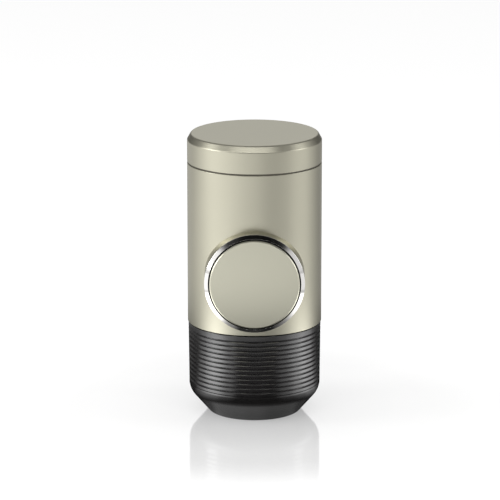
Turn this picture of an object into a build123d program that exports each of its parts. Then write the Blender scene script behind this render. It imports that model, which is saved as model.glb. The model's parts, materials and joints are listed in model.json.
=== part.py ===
# Handheld manual espresso maker: a metal sleeve with a sideways hand pump on its front,
# a water tank and screw lid above the pump, and a capsule chamber and ribbed cup below it.
#
# Millimetres. +Z runs up the axis of the body from the centre of the cup's foot.
# The pump's axis is parallel to Y, and its piston faces -Y. "Front" distances are measured
# from the body axis towards -Y.
from build123d import *
import math
import os

os.makedirs("parts", exist_ok=True)

# ------------------------------------------------------------------ clearances
slip = 0.1  # between rigid pieces that drop or slide into each other
seat_gap = 0.05  # between pieces that are fixed together, and under seals
running = 0.05  # radial, round the pump rod
soft_gap = 0.1  # between a soft ring and what it presses on

# ------------------------------------------------------------------ outside of the body
body_radius = 31.0
sleeve_wall = 1.5
shell_gap = 0.3  # between the sleeve and the frame inside it
boss_wall = 0.8
boss_reach = 5.15  # of the boss in front of the sleeve's skin
lid_height = 12.9
lid_wall = 1.25
lid_chamfer_rise = 3.0
lid_chamfer_run = 1.7

# ------------------------------------------------------------------ cup
cup_wall = 1.6
grip_wall = 1.75
foot_radius = 21.0
foot_round = 1.8
belly_height = 10.79  # where the taper of the foot would meet the wall
belly_round = 8.5
grip_inset = 0.3  # of the grip's top edge from the sleeve's skin
grip_draft = 0.37  # of the grip's wall, from its top edge down to the belly
rib_pitch = 2.19
rib_count = 13
groove_width = 0.95
groove_depth = 0.5
first_groove_drop = 2.85  # from the cup's shoulder to the top groove
collar_rise = 4.2  # of the cup's collar inside the sleeve
collar_gap = 0.65  # between the collar and the sleeve, where the seal sits
cup_seal_height = 1.2
cup_seal_groove = 0.65

# ------------------------------------------------------------------ capsule chamber
capsule_rim_radius = 18.55
capsule_rim_depth = 1.4
capsule_length = 28.7
capsule_mouth_radius = 15.3
capsule_end_radius = 12.4
holder_rim_wall = 1.4
holder_neck_radius = 16.8
holder_neck_length = 11.5
outlet_wall = 1.5
outlet_plate = 2.4
outlet_chamfer = 3.0
outlet_top_gap = 1.0  # between the outlet head's upper edge and the brew head
spout_length = 3.0
spout_radius = 5.0
spout_hole_radius = 2.6
spout_floor_gap = 1.5
grip_flute_count = 16
grip_flute_radius = 1.3
grip_flute_depth = 0.6
pin_plate_thickness = 1.0
pin_side = 1.3
pin_height = 0.7
pin_pitch = 4.0
pin_rows = 5
pin_taper = 20.0
outlet_seal_thickness = 0.95
needle_seal_thickness = 0.6
needle_plate_thickness = 0.9
needle_length = 4.5
needle_radius = 0.9
needle_tip_radius = 0.25
needle_circle = 7.5
needle_count = 3

# ------------------------------------------------------------------ brew head
brew_head_thickness = 5.8
cup_shoulder_rise = 0.85  # of the cup's shoulder above the brew head's lower face
thread_gap = 0.35  # radial, where threads mesh
channel_radius = 1.2
channel_height = 3.2
face_seal_inner = 3.4
face_seal_outer = 5.0
face_seal_depth = 0.9

# ------------------------------------------------------------------ sleeve, frame and tank
parting = 0.4  # dark line between the cup and the sleeve
deck_thickness = 2.5
deck_notch_half_width = 14.0
skirt_floor_gap = 1.05
skirt_roof_gap = 1.3
upper_deck_thickness = 2.2
tank_wall = 1.6
tank_floor = 1.5
tank_depth = 24.6  # from the tank's underside to its flange
tank_flange = 0.6
tank_flange_inset = 0.4
neck_step = 1.8  # radial, from the tank's outside to its threaded neck
neck_wall = 1.8
lid_parting = 0.1
lid_seal_thickness = 1.15
lid_seal_width = 2.6
lid_edge_fillet = 1.1
liner_roof = 1.8
liner_inset = 0.5  # of the liner's edge above the lid's
vent_disc_radius = 5.0
vent_disc_thickness = 0.9
vent_stem_radius = 1.5

# ------------------------------------------------------------------ pump
piston_radius = 20.5
piston_proud = 1.6  # of the piston's face in front of the bezel
piston_cap_thickness = 2.0
piston_cap_chamfer = 0.45
piston_crown = 0.5  # rise of the disc's face from its rim to its middle
piston_gap = 0.65  # visible ring of shadow round the piston
bezel_lip = 0.95  # width of the boss's and bezel's wall outside the piston gap
bezel_flange = 2.0
bezel_side = 0.6  # straight, before the bevel
bezel_land = 0.15  # flat, round the piston gap
bezel_round = 6.0  # of the bevel's slightly crowned face
bezel_spigot = 6.0
wiper_width = 2.0
wiper_offset = 1.2
skirt_wall = 1.2
skirt_face = 2.45
hub_radius = 8.5
hub_length = 5.8
rod_radius = 5.0
rod_flange_width = 2.0
rod_flange_thickness = 1.95
clip_thickness = 1.0
clip_width = 1.5  # outside the rod
clip_groove_depth = 0.7
head_length = 10.0
head_gap = 0.3
seal_section = 0.85  # radius of a piston O-ring's section
seal_squeeze = 0.15
seal_inset = 3.0  # of each O-ring from the end of the piston head
bore_radius = 8.0
barrel_wall = 3.0
barrel_flange_width = 0.8
barrel_flange_thickness = 1.5
bush_length = 2.6
bush_gap = 0.4
pump_chamber = 3.8
port_radius = 1.5
plug_length = 3.2
plug_flange = 1.8
plug_flange_inset = 0.2  # of the plug's rim from the barrel's outside
plug_back_gap = 0.6  # from the plug's rim to the sleeve
plug_slot_width = 2.0
plug_slot_depth = 0.8
ring_groove_depth = 0.95
bulkhead_thickness = 2.5
bulkhead_inset = 0.67  # of its edges from the frame's round outline
guide_flange = 1.8
guide_flange_reach = 0.5  # past the piston's skirt
guide_flange_gap = 1.2
guide_wall = 1.6
guide_bore_gap = 1.0  # round the rod
lock_room = 2.3  # radial, between the guide and the skirt, for the lugs, collar and stop ring
collar_thickness = 2.0
collar_clearance = 0.3
lug_thickness = 2.0
lug_angle = 24.0
notch_angle = 28.0
lug_count = 3
stop_ring_thickness = 1.2
stop_ring_lip = 1.6
stop_ring_width = 2.5
stop_ring_opening = 24.0
spring_wire = 0.6  # radius of the return spring's wire
spring_room = 0.9  # between the hub and the return spring
spring_turns = 4

# ------------------------------------------------------------------ valves
valve_bore = 4.05
valve_boss_radius = 6.5
valve_seat_height = 2.0
valve_seat_hole = 1.4
valve_ball_radius = 2.0
valve_shelf = 3.6  # of plastic between the pump barrel and the inlet valve's bore
outlet_shelf = 1.9  # of plastic between the pump barrel and the outlet valve's seat
valve_spring_wire = 0.25
valve_spring_radius = 1.7
valve_spring_turns = 3
gasket_thickness = 0.8

# ------------------------------------------------------------------ screws
screw_radius = 1.0
screw_head_radius = 1.8
screw_head_height = 1.3
screw_hole_gap = 0.1
screw_socket_radius = 0.8
screw_socket_depth = 0.7
frame_screw_inset = 3.1  # from the brew head's rim
frame_screw_angle = 40.0
frame_screw_length = 9.7
frame_boss_height = 3.4
tank_screw_inset = 2.0  # from the tank's inner wall
tank_screw_length = 5.6
tank_boss_radius = 2.6
tank_boss_height = 3.2
guide_screw_gap = 0.4  # between the screws' heads and the pump barrel
screw_boss_radius = 2.8

# ------------------------------------------------------------------ heights, from the foot up
cup_floor = grip_wall + slip + cup_wall
spout_tip = cup_floor + spout_floor_gap
outlet_bottom = spout_tip + spout_length
outlet_floor = outlet_bottom + outlet_plate
pin_plate_top = outlet_floor + seat_gap + pin_plate_thickness
outlet_ledge = pin_plate_top + seat_gap
holder_bottom = outlet_ledge + seat_gap + outlet_seal_thickness + soft_gap
holder_top = holder_bottom + capsule_length
brew_bottom = holder_top + 2 * seat_gap + needle_seal_thickness
brew_top = brew_bottom + brew_head_thickness
cup_top = brew_bottom + cup_shoulder_rise
collar_top = cup_top + collar_rise
sleeve_bottom = cup_top + parting
deck_bottom = brew_top + slip
deck_top = deck_bottom + deck_thickness
piston_height = deck_bottom + skirt_floor_gap + piston_radius
upper_deck_bottom = piston_height + piston_radius + skirt_roof_gap
upper_deck_top = upper_deck_bottom + upper_deck_thickness
tank_bottom = upper_deck_top + slip
sleeve_top = tank_bottom + tank_depth
lid_bottom = sleeve_top + tank_flange + lid_parting
lid_top = lid_bottom + lid_height
lid_ceiling = lid_top - lid_wall - slip - liner_roof
neck_top = lid_ceiling - seat_gap - lid_seal_thickness - soft_gap

# ------------------------------------------------------------------ radii from the body's skin in
sleeve_inner = body_radius - sleeve_wall
frame_radius = sleeve_inner - shell_gap
tank_inner = frame_radius - tank_wall
neck_outer = frame_radius - neck_step
neck_inner = neck_outer - neck_wall
liner_inner = neck_outer + thread_gap
collar_outer = sleeve_inner - collar_gap
cup_inner = collar_outer - cup_wall
brew_radius = cup_inner - thread_gap
holder_rim_bore = capsule_rim_radius + 2 * slip
holder_radius = holder_rim_bore + holder_rim_wall
outlet_bore = holder_radius + thread_gap
outlet_radius = outlet_bore + outlet_wall
pin_plate_radius = capsule_rim_radius + thread_gap
grip_top_radius = body_radius - grip_inset
belly_radius = grip_top_radius - grip_draft
frame_screw_circle = brew_radius - frame_screw_inset
tank_screw_circle = tank_inner - tank_screw_inset

# ------------------------------------------------------------------ radii round the pump's axis
skirt_inner = piston_radius - skirt_wall
bezel_inner = piston_radius + piston_gap
boss_inner = bezel_inner + bezel_lip
boss_radius = boss_inner + boss_wall
guide_outer = skirt_inner - lock_room
guide_inner = guide_outer - guide_wall
guide_flange_radius = piston_radius + guide_flange_reach
guide_bore = rod_radius + guide_bore_gap
barrel_radius = bore_radius + barrel_wall
barrel_flange_radius = barrel_radius + barrel_flange_width
pump_clearance = barrel_radius + seat_gap
plug_flange_radius = barrel_radius - plug_flange_inset
guide_screw_circle = pump_clearance + guide_screw_gap + screw_head_radius
hub_bore = rod_radius + running
clip_radius = rod_radius + clip_width
rod_flange_radius = rod_radius + rod_flange_width
spring_radius = hub_radius + spring_room + spring_wire

# ------------------------------------------------------------------ front distances
# The pump's back end stands on the sleeve's back wall and its front end on the boss. The stroke,
# which the plunger and the lugs both need, takes the depth that is left between them.
boss_front = body_radius + boss_reach
bezel_front = boss_front + bezel_flange
piston_front = bezel_front + piston_proud
piston_back = piston_front - piston_cap_thickness
skirt_front = piston_back - seat_gap
skirt_inside = skirt_front - skirt_face
hub_back = skirt_inside - hub_length
guide_front = skirt_inside - collar_clearance
stop_ring_back = guide_front - stop_ring_lip - stop_ring_thickness
plug_back = -(math.sqrt(sleeve_inner**2 - plug_flange_radius**2) - plug_back_gap)
barrel_back = plug_back + plug_flange
plug_front = barrel_back + plug_length
head_back = plug_front + pump_chamber
port_front = (plug_front + head_back) / 2
head_front = head_back + head_length
between_strokes = bush_gap + bush_length + guide_flange + guide_flange_gap + lug_thickness + 2 * slip
piston_stroke = (stop_ring_back - head_front - between_strokes) / 2
bush_back = head_front + piston_stroke + bush_gap
bulkhead_front = bush_back + bush_length
bulkhead_back = bulkhead_front - bulkhead_thickness
guide_flange_front = bulkhead_front + guide_flange
skirt_back = guide_flange_front + guide_flange_gap
lug_front = skirt_back + lug_thickness
collar_back = lug_front + collar_clearance
valve_offset = -port_front  # of both valves behind the body axis
bulkhead_half_width = math.sqrt(frame_radius**2 - bulkhead_front**2) - bulkhead_inset
guide_screw_length = bulkhead_thickness + guide_flange - slip

inlet_bore_bottom = piston_height + barrel_radius + valve_shelf
gasket_bottom = upper_deck_top + seat_gap - gasket_thickness
inlet_seat_bottom = gasket_bottom - seat_gap - valve_seat_height
outlet_seat_top = piston_height - barrel_radius - outlet_shelf
outlet_seat_bottom = outlet_seat_top - valve_seat_height
ball_drop = math.sqrt(valve_ball_radius**2 - valve_seat_hole**2) + seat_gap

# Sections: radius and height for what stands round Z, front distance and radius for the pump.
pump_axis = Axis((0, 0, piston_height), (0, -1, 0))
pump_section = Plane(origin=(0, 0, piston_height), x_dir=(0, -1, 0), z_dir=(1, 0, 0))
pump_face = Plane(origin=(0, 0, piston_height), x_dir=(1, 0, 0), z_dir=(0, -1, 0))
valve_axis = Axis((0, valve_offset, 0), (0, 0, 1))
valve_section = Plane(origin=(0, valve_offset, 0), x_dir=(1, 0, 0), z_dir=(0, -1, 0))


def upright(x, y, z):
    """A level plane at a point, facing up."""
    return Plane(origin=(x, y, z), z_dir=(0, 0, 1))


def turn(outline, plane=Plane.XZ, axis=Axis.Z, mode=Mode.ADD):
    """Turns a closed outline of points round an axis and adds it to the part being built."""
    with BuildSketch(plane) as section:
        with BuildLine():
            Polyline(*outline, close=True)
        make_face()
    revolve(section.sketch, axis=axis, mode=mode)


def turn_pump(outline, mode=Mode.ADD):
    """Turns an outline of (front distance, radius) points round the pump's axis."""
    turn(outline, pump_section, pump_axis, mode)


def column(plane, radius, length, inner=0.0, mode=Mode.ADD):
    """Adds a round bar or tube that starts on a plane and runs along its normal."""
    with BuildSketch(plane) as section:
        Circle(radius)
        if inner > 0:
            Circle(inner, mode=Mode.SUBTRACT)
    extrude(section.sketch, amount=length, mode=mode)


def ring_outline(inner, outer, low, high):
    """The section of a plain ring that stands round Z."""
    return [(inner, low), (outer, low), (outer, high), (inner, high)]


def pump_ring_outline(back, front, inner, outer):
    """The section of a plain ring round the pump's axis."""
    return [(back, inner), (front, inner), (front, outer), (back, outer)]


def spots(circle, angles):
    """Points on a circle at the given angles in degrees."""
    return [(circle * math.cos(math.radians(a)), circle * math.sin(math.radians(a))) for a in angles]


def cap_screw(top, length):
    """Adds a socket screw: its head's outer face lies on a plane and its shank runs against the normal."""
    column(top.offset(-screw_head_height), screw_head_radius, screw_head_height)
    column(top.offset(-screw_head_height - length), screw_radius, length)
    with BuildSketch(top) as socket:
        RegularPolygon(screw_socket_radius, 6)
    extrude(socket.sketch, amount=-screw_socket_depth, mode=Mode.SUBTRACT)


def screw_hole(top, length):
    """Cuts the hole for a cap screw, from above its head to past its tip."""
    reach = screw_head_height + length + screw_radius
    column(top.offset(-reach), screw_radius + screw_hole_gap, reach, mode=Mode.SUBTRACT)
    column(top.offset(-screw_head_height), screw_head_radius + screw_hole_gap, screw_head_height,
           mode=Mode.SUBTRACT)


def coil(start, direction, radius, length, turns, wire):
    """Adds a helical wire round an axis that leaves a point in a direction."""
    with BuildLine() as path:
        Helix(length / turns, length, radius, center=start, direction=direction)
    with BuildSketch(Plane(origin=path.line @ 0, z_dir=path.line % 0)) as section:
        Circle(wire)
    sweep(section.sketch, path=path.line, is_frenet=True)


def sector(plane, inner, outer, centre, angle):
    """A piece of a ring on a plane, centred on one angle and spanning another, in degrees."""
    start = centre - angle / 2
    with BuildSketch(plane) as piece:
        with BuildLine():
            for side in (start, start + angle):
                turned = (math.cos(math.radians(side)), math.sin(math.radians(side)))
                Line((inner * turned[0], inner * turned[1]), (outer * turned[0], outer * turned[1]))
            CenterArc((0, 0), inner, start, angle)
            CenterArc((0, 0), outer, start, angle)
        make_face()
    return piece.sketch


def save(part, label):
    """Labels a finished piece and writes it to its own STEP file."""
    part.label = label
    export_step(part, f"parts/{label}.step")


frame_screws = spots(frame_screw_circle, [frame_screw_angle, 180 - frame_screw_angle,
                                          180 + frame_screw_angle, -frame_screw_angle])
tank_screws_at = spots(tank_screw_circle, [45, 135, 225, 315])
guide_screws_at = spots(guide_screw_circle, [45, 135, 225, 315])

frame_screw_planes = [Plane(origin=(x, y, brew_bottom), x_dir=(1, 0, 0), z_dir=(0, 0, -1))
                      for x, y in frame_screws]
tank_screw_planes = [Plane(origin=(x, y, upper_deck_bottom), x_dir=(1, 0, 0), z_dir=(0, 0, -1))
                     for x, y in tank_screws_at]
guide_screw_planes = [Plane(origin=(x, screw_head_height - bulkhead_back, piston_height + y),
                            x_dir=(1, 0, 0), z_dir=(0, 1, 0)) for x, y in guide_screws_at]


# ------------------------------------------------------------------ body sleeve and its boss
with BuildPart() as body_sleeve:
    with BuildSketch(Plane.XY.offset(sleeve_bottom)):
        Circle(body_radius)
    extrude(amount=sleeve_top - sleeve_bottom)
    with BuildSketch(pump_face):
        Circle(boss_radius)
    extrude(amount=boss_front)
    with BuildSketch(Plane.XY.offset(sleeve_bottom)):
        Circle(sleeve_inner)
    extrude(amount=sleeve_top - sleeve_bottom, mode=Mode.SUBTRACT)
    with BuildSketch(pump_face):
        Circle(boss_inner)
    extrude(amount=boss_front, mode=Mode.SUBTRACT)
save(body_sleeve.part, "body_sleeve")

# ------------------------------------------------------------------ polished bezel on the boss
bezel_spigot_outer = boss_inner - seat_gap
bezel_crest = bezel_inner + bezel_land
bezel_shoulder = boss_front + slip + bezel_side
with BuildPart() as piston_bezel:
    with BuildSketch(pump_section):
        with BuildLine():
            Polyline((bezel_shoulder, boss_radius), (boss_front + slip, boss_radius),
                     (boss_front + slip, bezel_spigot_outer),
                     (boss_front - bezel_spigot, bezel_spigot_outer),
                     (boss_front - bezel_spigot, bezel_inner), (bezel_front - slip, bezel_inner),
                     (bezel_front, bezel_inner + slip), (bezel_front, bezel_crest))
            RadiusArc((bezel_front, bezel_crest), (bezel_shoulder, boss_radius), -bezel_round)
        make_face()
    revolve(axis=pump_axis)
save(piston_bezel.part, "piston_bezel")

wiper_back = boss_front - bezel_spigot + wiper_offset
with BuildPart() as piston_wiper:
    turn_pump(pump_ring_outline(wiper_back, wiper_back + wiper_width,
                                piston_radius + 3 * soft_gap, bezel_inner - seat_gap))
save(piston_wiper.part, "piston_wiper")

# ------------------------------------------------------------------ piston: disc, skirt, rod
rim_front = piston_front - piston_crown
rim_radius = piston_radius - piston_cap_chamfer
crown_radius = (rim_radius**2 + piston_crown**2) / (2 * piston_crown)
with BuildPart() as piston_cap:
    with BuildSketch(pump_section):
        with BuildLine():
            RadiusArc((piston_front, 0), (rim_front, rim_radius), -crown_radius)
            Polyline((rim_front, rim_radius), (rim_front - piston_cap_chamfer, piston_radius),
                     (piston_back, piston_radius), (piston_back, 0), (piston_front, 0))
        make_face()
    revolve(axis=pump_axis)
save(piston_cap.part, "piston_cap")

with BuildPart() as piston_skirt:
    turn_pump([(skirt_back, skirt_inner), (skirt_inside, skirt_inner), (skirt_inside, hub_radius),
               (hub_back, hub_radius), (hub_back, hub_bore),
               (skirt_inside - 2 * clip_thickness, hub_bore),
               (skirt_inside - 2 * clip_thickness, clip_radius + seat_gap),
               (skirt_inside, clip_radius + seat_gap), (skirt_inside, 0),
               (skirt_front, 0), (skirt_front, piston_radius), (skirt_back, piston_radius)])
    for lug in range(lug_count):
        tab = sector(pump_face.offset(skirt_back), guide_outer + collar_clearance, piston_radius - seat_gap,
                     90 + lug * 360 / lug_count, lug_angle)
        extrude(tab, amount=lug_thickness)
save(piston_skirt.part, "piston_skirt")

rod_tip = skirt_inside - collar_clearance
clip_back = skirt_inside - 2 * clip_thickness + seat_gap
clip_groove_radius = rod_radius - clip_groove_depth
head_radius = bore_radius - head_gap
seal_radius = bore_radius - seal_squeeze - seal_section
seal_groove_radius = seal_radius - seal_section - seat_gap
seal_fronts = [head_back + seal_inset, head_front - seal_inset]
with BuildPart() as plunger:
    turn_pump([(head_back, 0), (head_back, head_radius), (head_front, head_radius), (head_front, rod_radius),
               (hub_back - seat_gap - rod_flange_thickness, rod_radius),
               (hub_back - seat_gap - rod_flange_thickness, rod_flange_radius),
               (hub_back - seat_gap, rod_flange_radius), (hub_back - seat_gap, rod_radius),
               (clip_back, rod_radius), (clip_back, clip_groove_radius),
               (clip_back + clip_thickness, clip_groove_radius), (clip_back + clip_thickness, rod_radius),
               (rod_tip, rod_radius), (rod_tip, 0)])
    for front in seal_fronts:
        turn_pump(pump_ring_outline(front - seal_section - slip, front + seal_section + slip,
                                    seal_groove_radius, bore_radius), mode=Mode.SUBTRACT)
save(plunger.part, "plunger")

with BuildPart() as plunger_seals:
    for front in seal_fronts:
        with BuildSketch(pump_section) as section:
            with Locations((front, seal_radius)):
                Circle(seal_section)
        revolve(section.sketch, axis=pump_axis)
save(plunger_seals.part, "plunger_seals")

with BuildPart() as rod_clip:
    ring = sector(pump_face.offset(clip_back + seat_gap), clip_groove_radius + seat_gap, clip_radius,
                  -90, 360 - stop_ring_opening)
    extrude(ring, amount=clip_thickness - 2 * seat_gap)
save(rod_clip.part, "rod_clip")

with BuildPart() as piston_spring:
    coil((0, -guide_flange_front - spring_wire - seat_gap, piston_height), (0, -1, 0), spring_radius,
         skirt_inside - guide_flange_front - 2 * (spring_wire + seat_gap), spring_turns, spring_wire)
save(piston_spring.part, "piston_spring")

# ------------------------------------------------------------------ pump barrel and its ends
with BuildPart() as pump_cylinder:
    turn_pump([(barrel_back, bore_radius), (barrel_back, barrel_radius),
               (bulkhead_front - barrel_flange_thickness, barrel_radius),
               (bulkhead_front - barrel_flange_thickness, barrel_flange_radius),
               (bulkhead_front, barrel_flange_radius), (bulkhead_front, bore_radius)])
    column(upright(0, valve_offset, piston_height - pump_clearance), port_radius, 2 * pump_clearance,
           mode=Mode.SUBTRACT)
save(pump_cylinder.part, "pump_cylinder")

with BuildPart() as rod_guide:
    turn_pump(pump_ring_outline(bush_back, bulkhead_front, rod_radius + running, bore_radius - seat_gap))
save(rod_guide.part, "rod_guide")

plug_radius = bore_radius - seat_gap
plug_groove_front = barrel_back + plug_length / 2
with BuildPart() as cylinder_end_cap:
    turn_pump([(plug_back, 0), (plug_back, plug_flange_radius), (barrel_back - seat_gap, plug_flange_radius),
               (barrel_back - seat_gap, plug_radius), (plug_front, plug_radius), (plug_front, 0)])
    turn_pump(pump_ring_outline(plug_groove_front - seal_section, plug_groove_front + seal_section,
                                plug_radius - ring_groove_depth, bore_radius), mode=Mode.SUBTRACT)
    with BuildSketch(pump_face.offset(plug_back)):
        Rectangle(2 * plug_radius, plug_slot_width)
    extrude(amount=plug_slot_depth, mode=Mode.SUBTRACT)
save(cylinder_end_cap.part, "cylinder_end_cap")

with BuildPart() as end_cap_seal:
    turn_pump(pump_ring_outline(plug_groove_front - seal_section + slip,
                                plug_groove_front + seal_section - slip,
                                plug_radius - ring_groove_depth + seat_gap, bore_radius - seat_gap))
save(end_cap_seal.part, "end_cap_seal")

# ------------------------------------------------------------------ guide tube with the twist-lock collar
with BuildPart() as guide_tube:
    turn_pump([(bulkhead_front + seat_gap, guide_bore), (guide_flange_front, guide_bore),
               (guide_flange_front, guide_inner), (guide_front, guide_inner), (guide_front, guide_outer),
               (collar_back + collar_thickness, guide_outer),
               (collar_back + collar_thickness, skirt_inner - slip), (collar_back, skirt_inner - slip),
               (collar_back, guide_outer), (guide_flange_front, guide_outer),
               (guide_flange_front, guide_flange_radius), (bulkhead_front + seat_gap, guide_flange_radius)])
    for lug in range(lug_count):
        notch = sector(pump_face.offset(collar_back), guide_outer, piston_radius,
                       90 + lug * 360 / lug_count, notch_angle)
        extrude(notch, amount=collar_thickness, mode=Mode.SUBTRACT)
    turn_pump(pump_ring_outline(stop_ring_back - seat_gap, stop_ring_back + stop_ring_thickness + seat_gap,
                                guide_outer - guide_wall / 2, guide_outer + slip), mode=Mode.SUBTRACT)
    for plane in guide_screw_planes:
        screw_hole(plane, guide_screw_length)
save(guide_tube.part, "guide_tube")

with BuildPart() as stop_ring:
    ring = sector(pump_face.offset(stop_ring_back), guide_outer - guide_wall / 2 + seat_gap,
                  guide_outer - guide_wall / 2 + stop_ring_width, -90, 360 - stop_ring_opening)
    extrude(ring, amount=stop_ring_thickness)
save(stop_ring.part, "stop_ring")

with BuildPart() as guide_screws:
    for plane in guide_screw_planes:
        cap_screw(plane, guide_screw_length)
save(guide_screws.part, "guide_screws")

# ------------------------------------------------------------------ frame that carries it all in the sleeve
web_half = barrel_wall / 2
with BuildPart() as chassis:
    column(Plane.XY.offset(deck_bottom), frame_radius, deck_thickness)
    column(Plane.XY.offset(upper_deck_bottom), frame_radius, upper_deck_thickness)
    with BuildSketch(pump_face.offset(bulkhead_back)):
        with Locations((0, (deck_top + upper_deck_bottom) / 2 - piston_height)):
            Rectangle(2 * bulkhead_half_width, upper_deck_bottom - deck_top)
    extrude(amount=bulkhead_thickness)
    with BuildSketch(Plane.YZ.offset(-web_half)) as web:
        with Locations(((plug_front - bulkhead_back) / 2 - plug_front, (deck_top + upper_deck_bottom) / 2)):
            Rectangle(bulkhead_back - plug_front, upper_deck_bottom - deck_top)
    extrude(web.sketch, amount=2 * web_half)
    column(upright(0, valve_offset, deck_bottom), valve_boss_radius,
           upper_deck_top - deck_bottom)
    for x, y in frame_screws:
        column(upright(x, y, deck_bottom), screw_boss_radius,
               deck_thickness + frame_boss_height)
    column(pump_face.offset(plug_back), pump_clearance, bulkhead_front - plug_back, mode=Mode.SUBTRACT)
    column(pump_face.offset(bulkhead_front - barrel_flange_thickness - seat_gap),
           barrel_flange_radius + seat_gap, bulkhead_thickness, mode=Mode.SUBTRACT)
    with BuildSketch(Plane.XY.offset(deck_bottom)):
        with Locations((0, -bulkhead_front - frame_radius)):
            Rectangle(2 * deck_notch_half_width, 2 * frame_radius)
    extrude(amount=deck_thickness, mode=Mode.SUBTRACT)
    turn([(0, inlet_bore_bottom), (valve_bore, inlet_bore_bottom), (valve_bore, tank_bottom),
          (0, tank_bottom)], valve_section, valve_axis, Mode.SUBTRACT)
    turn([(0, deck_bottom), (valve_bore, deck_bottom), (valve_bore, outlet_seat_top + seat_gap),
          (0, outlet_seat_top + seat_gap)], valve_section, valve_axis, Mode.SUBTRACT)
    turn([(0, outlet_seat_bottom), (port_radius, outlet_seat_bottom), (port_radius, upper_deck_bottom),
          (0, upper_deck_bottom)], valve_section, valve_axis, Mode.SUBTRACT)
    for plane in frame_screw_planes:
        screw_hole(plane, frame_screw_length)
    for plane in tank_screw_planes:
        screw_hole(plane, tank_screw_length)
    for plane in guide_screw_planes:
        screw_hole(plane, guide_screw_length)
save(chassis.part, "chassis")

# ------------------------------------------------------------------ the two non-return valves
for name, seat_bottom, spring_bottom in (("inlet", inlet_seat_bottom, inlet_bore_bottom),
                                         ("outlet", outlet_seat_bottom, brew_top)):
    ball_height = seat_bottom - ball_drop
    with BuildPart() as valve_seat:
        turn(ring_outline(valve_seat_hole, valve_bore - seat_gap, seat_bottom,
                          seat_bottom + valve_seat_height), valve_section, valve_axis)
    save(valve_seat.part, f"{name}_valve_seat")

    with BuildPart(Plane(origin=(0, valve_offset, ball_height))) as ball:
        Sphere(valve_ball_radius)
    save(ball.part, f"{name}_ball")

    spring_low = spring_bottom + seat_gap + valve_spring_wire
    spring_high = ball_height - math.sqrt((valve_ball_radius + valve_spring_wire) ** 2
                                          - valve_spring_radius**2) - seat_gap
    with BuildPart() as valve_spring:
        coil((0, valve_offset, spring_low), (0, 0, 1), valve_spring_radius, spring_high - spring_low,
             valve_spring_turns, valve_spring_wire)
    save(valve_spring.part, f"{name}_spring")

# ------------------------------------------------------------------ water tank
boss_top = tank_bottom + tank_floor + tank_boss_height
with BuildPart() as water_tank:
    turn([(0, tank_bottom), (frame_radius, tank_bottom), (frame_radius, sleeve_top),
          (body_radius - tank_flange_inset, sleeve_top),
          (body_radius - tank_flange_inset, sleeve_top + tank_flange),
          (neck_outer, sleeve_top + tank_flange), (neck_outer, neck_top), (neck_inner, neck_top),
          (neck_inner, sleeve_top), (tank_inner, sleeve_top - neck_step - tank_wall),
          (tank_inner, tank_bottom + tank_floor), (0, tank_bottom + tank_floor)])
    for x, y in tank_screws_at:
        column(upright(x, y, tank_bottom), tank_boss_radius, boss_top - tank_bottom)
    for plane in tank_screw_planes:
        screw_hole(plane, tank_screw_length)
    column(upright(0, valve_offset, tank_bottom), valve_seat_hole, tank_floor,
           mode=Mode.SUBTRACT)
save(water_tank.part, "water_tank")

with BuildPart() as tank_outlet_seal:
    turn(ring_outline(valve_seat_hole + slip, valve_bore - seat_gap, gasket_bottom,
                      gasket_bottom + gasket_thickness), valve_section, valve_axis)
save(tank_outlet_seal.part, "tank_outlet_seal")

with BuildPart() as tank_screws:
    for plane in tank_screw_planes:
        cap_screw(plane, tank_screw_length)
save(tank_screws.part, "tank_screws")

# ------------------------------------------------------------------ lid
lid_roof = lid_top - lid_wall
chamfer_foot = lid_top - lid_chamfer_rise
lid_inner = body_radius - lid_wall
with BuildPart() as lid_cap:
    with BuildSketch(Plane.XZ):
        with BuildLine():
            FilletPolyline((body_radius, lid_bottom), (body_radius, chamfer_foot),
                           (body_radius - lid_chamfer_run, lid_top), (0, lid_top),
                           radius=lid_edge_fillet)
            Polyline((0, lid_top), (0, lid_roof), (lid_inner - lid_chamfer_run, lid_roof),
                     (lid_inner, chamfer_foot - lid_wall), (lid_inner, lid_bottom),
                     (body_radius, lid_bottom))
        make_face()
    revolve()
save(lid_cap.part, "lid_cap")

liner_bottom = lid_bottom + liner_inset
liner_outer = lid_inner - slip
liner_top = lid_roof - slip
with BuildPart() as lid_liner:
    turn([(vent_stem_radius + slip, lid_ceiling), (liner_inner, lid_ceiling), (liner_inner, liner_bottom),
          (liner_outer, liner_bottom), (liner_outer, chamfer_foot - lid_wall - slip),
          (liner_outer - lid_chamfer_run, liner_top), (vent_stem_radius + slip, liner_top)])
save(lid_liner.part, "lid_liner")

with BuildPart() as lid_seal:
    turn(ring_outline(liner_inner - slip - lid_seal_width, liner_inner - slip,
                      neck_top + soft_gap, lid_ceiling - seat_gap))
save(lid_seal.part, "lid_seal")

vent_disc_top = lid_ceiling - seat_gap
with BuildPart() as vent_valve:
    turn([(0, vent_disc_top - vent_disc_thickness),
          (vent_disc_radius, vent_disc_top - vent_disc_thickness / 2),
          (vent_disc_radius, vent_disc_top), (vent_stem_radius, vent_disc_top),
          (vent_stem_radius, liner_top - seat_gap), (0, liner_top - seat_gap)])
save(vent_valve.part, "vent_valve")

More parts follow.
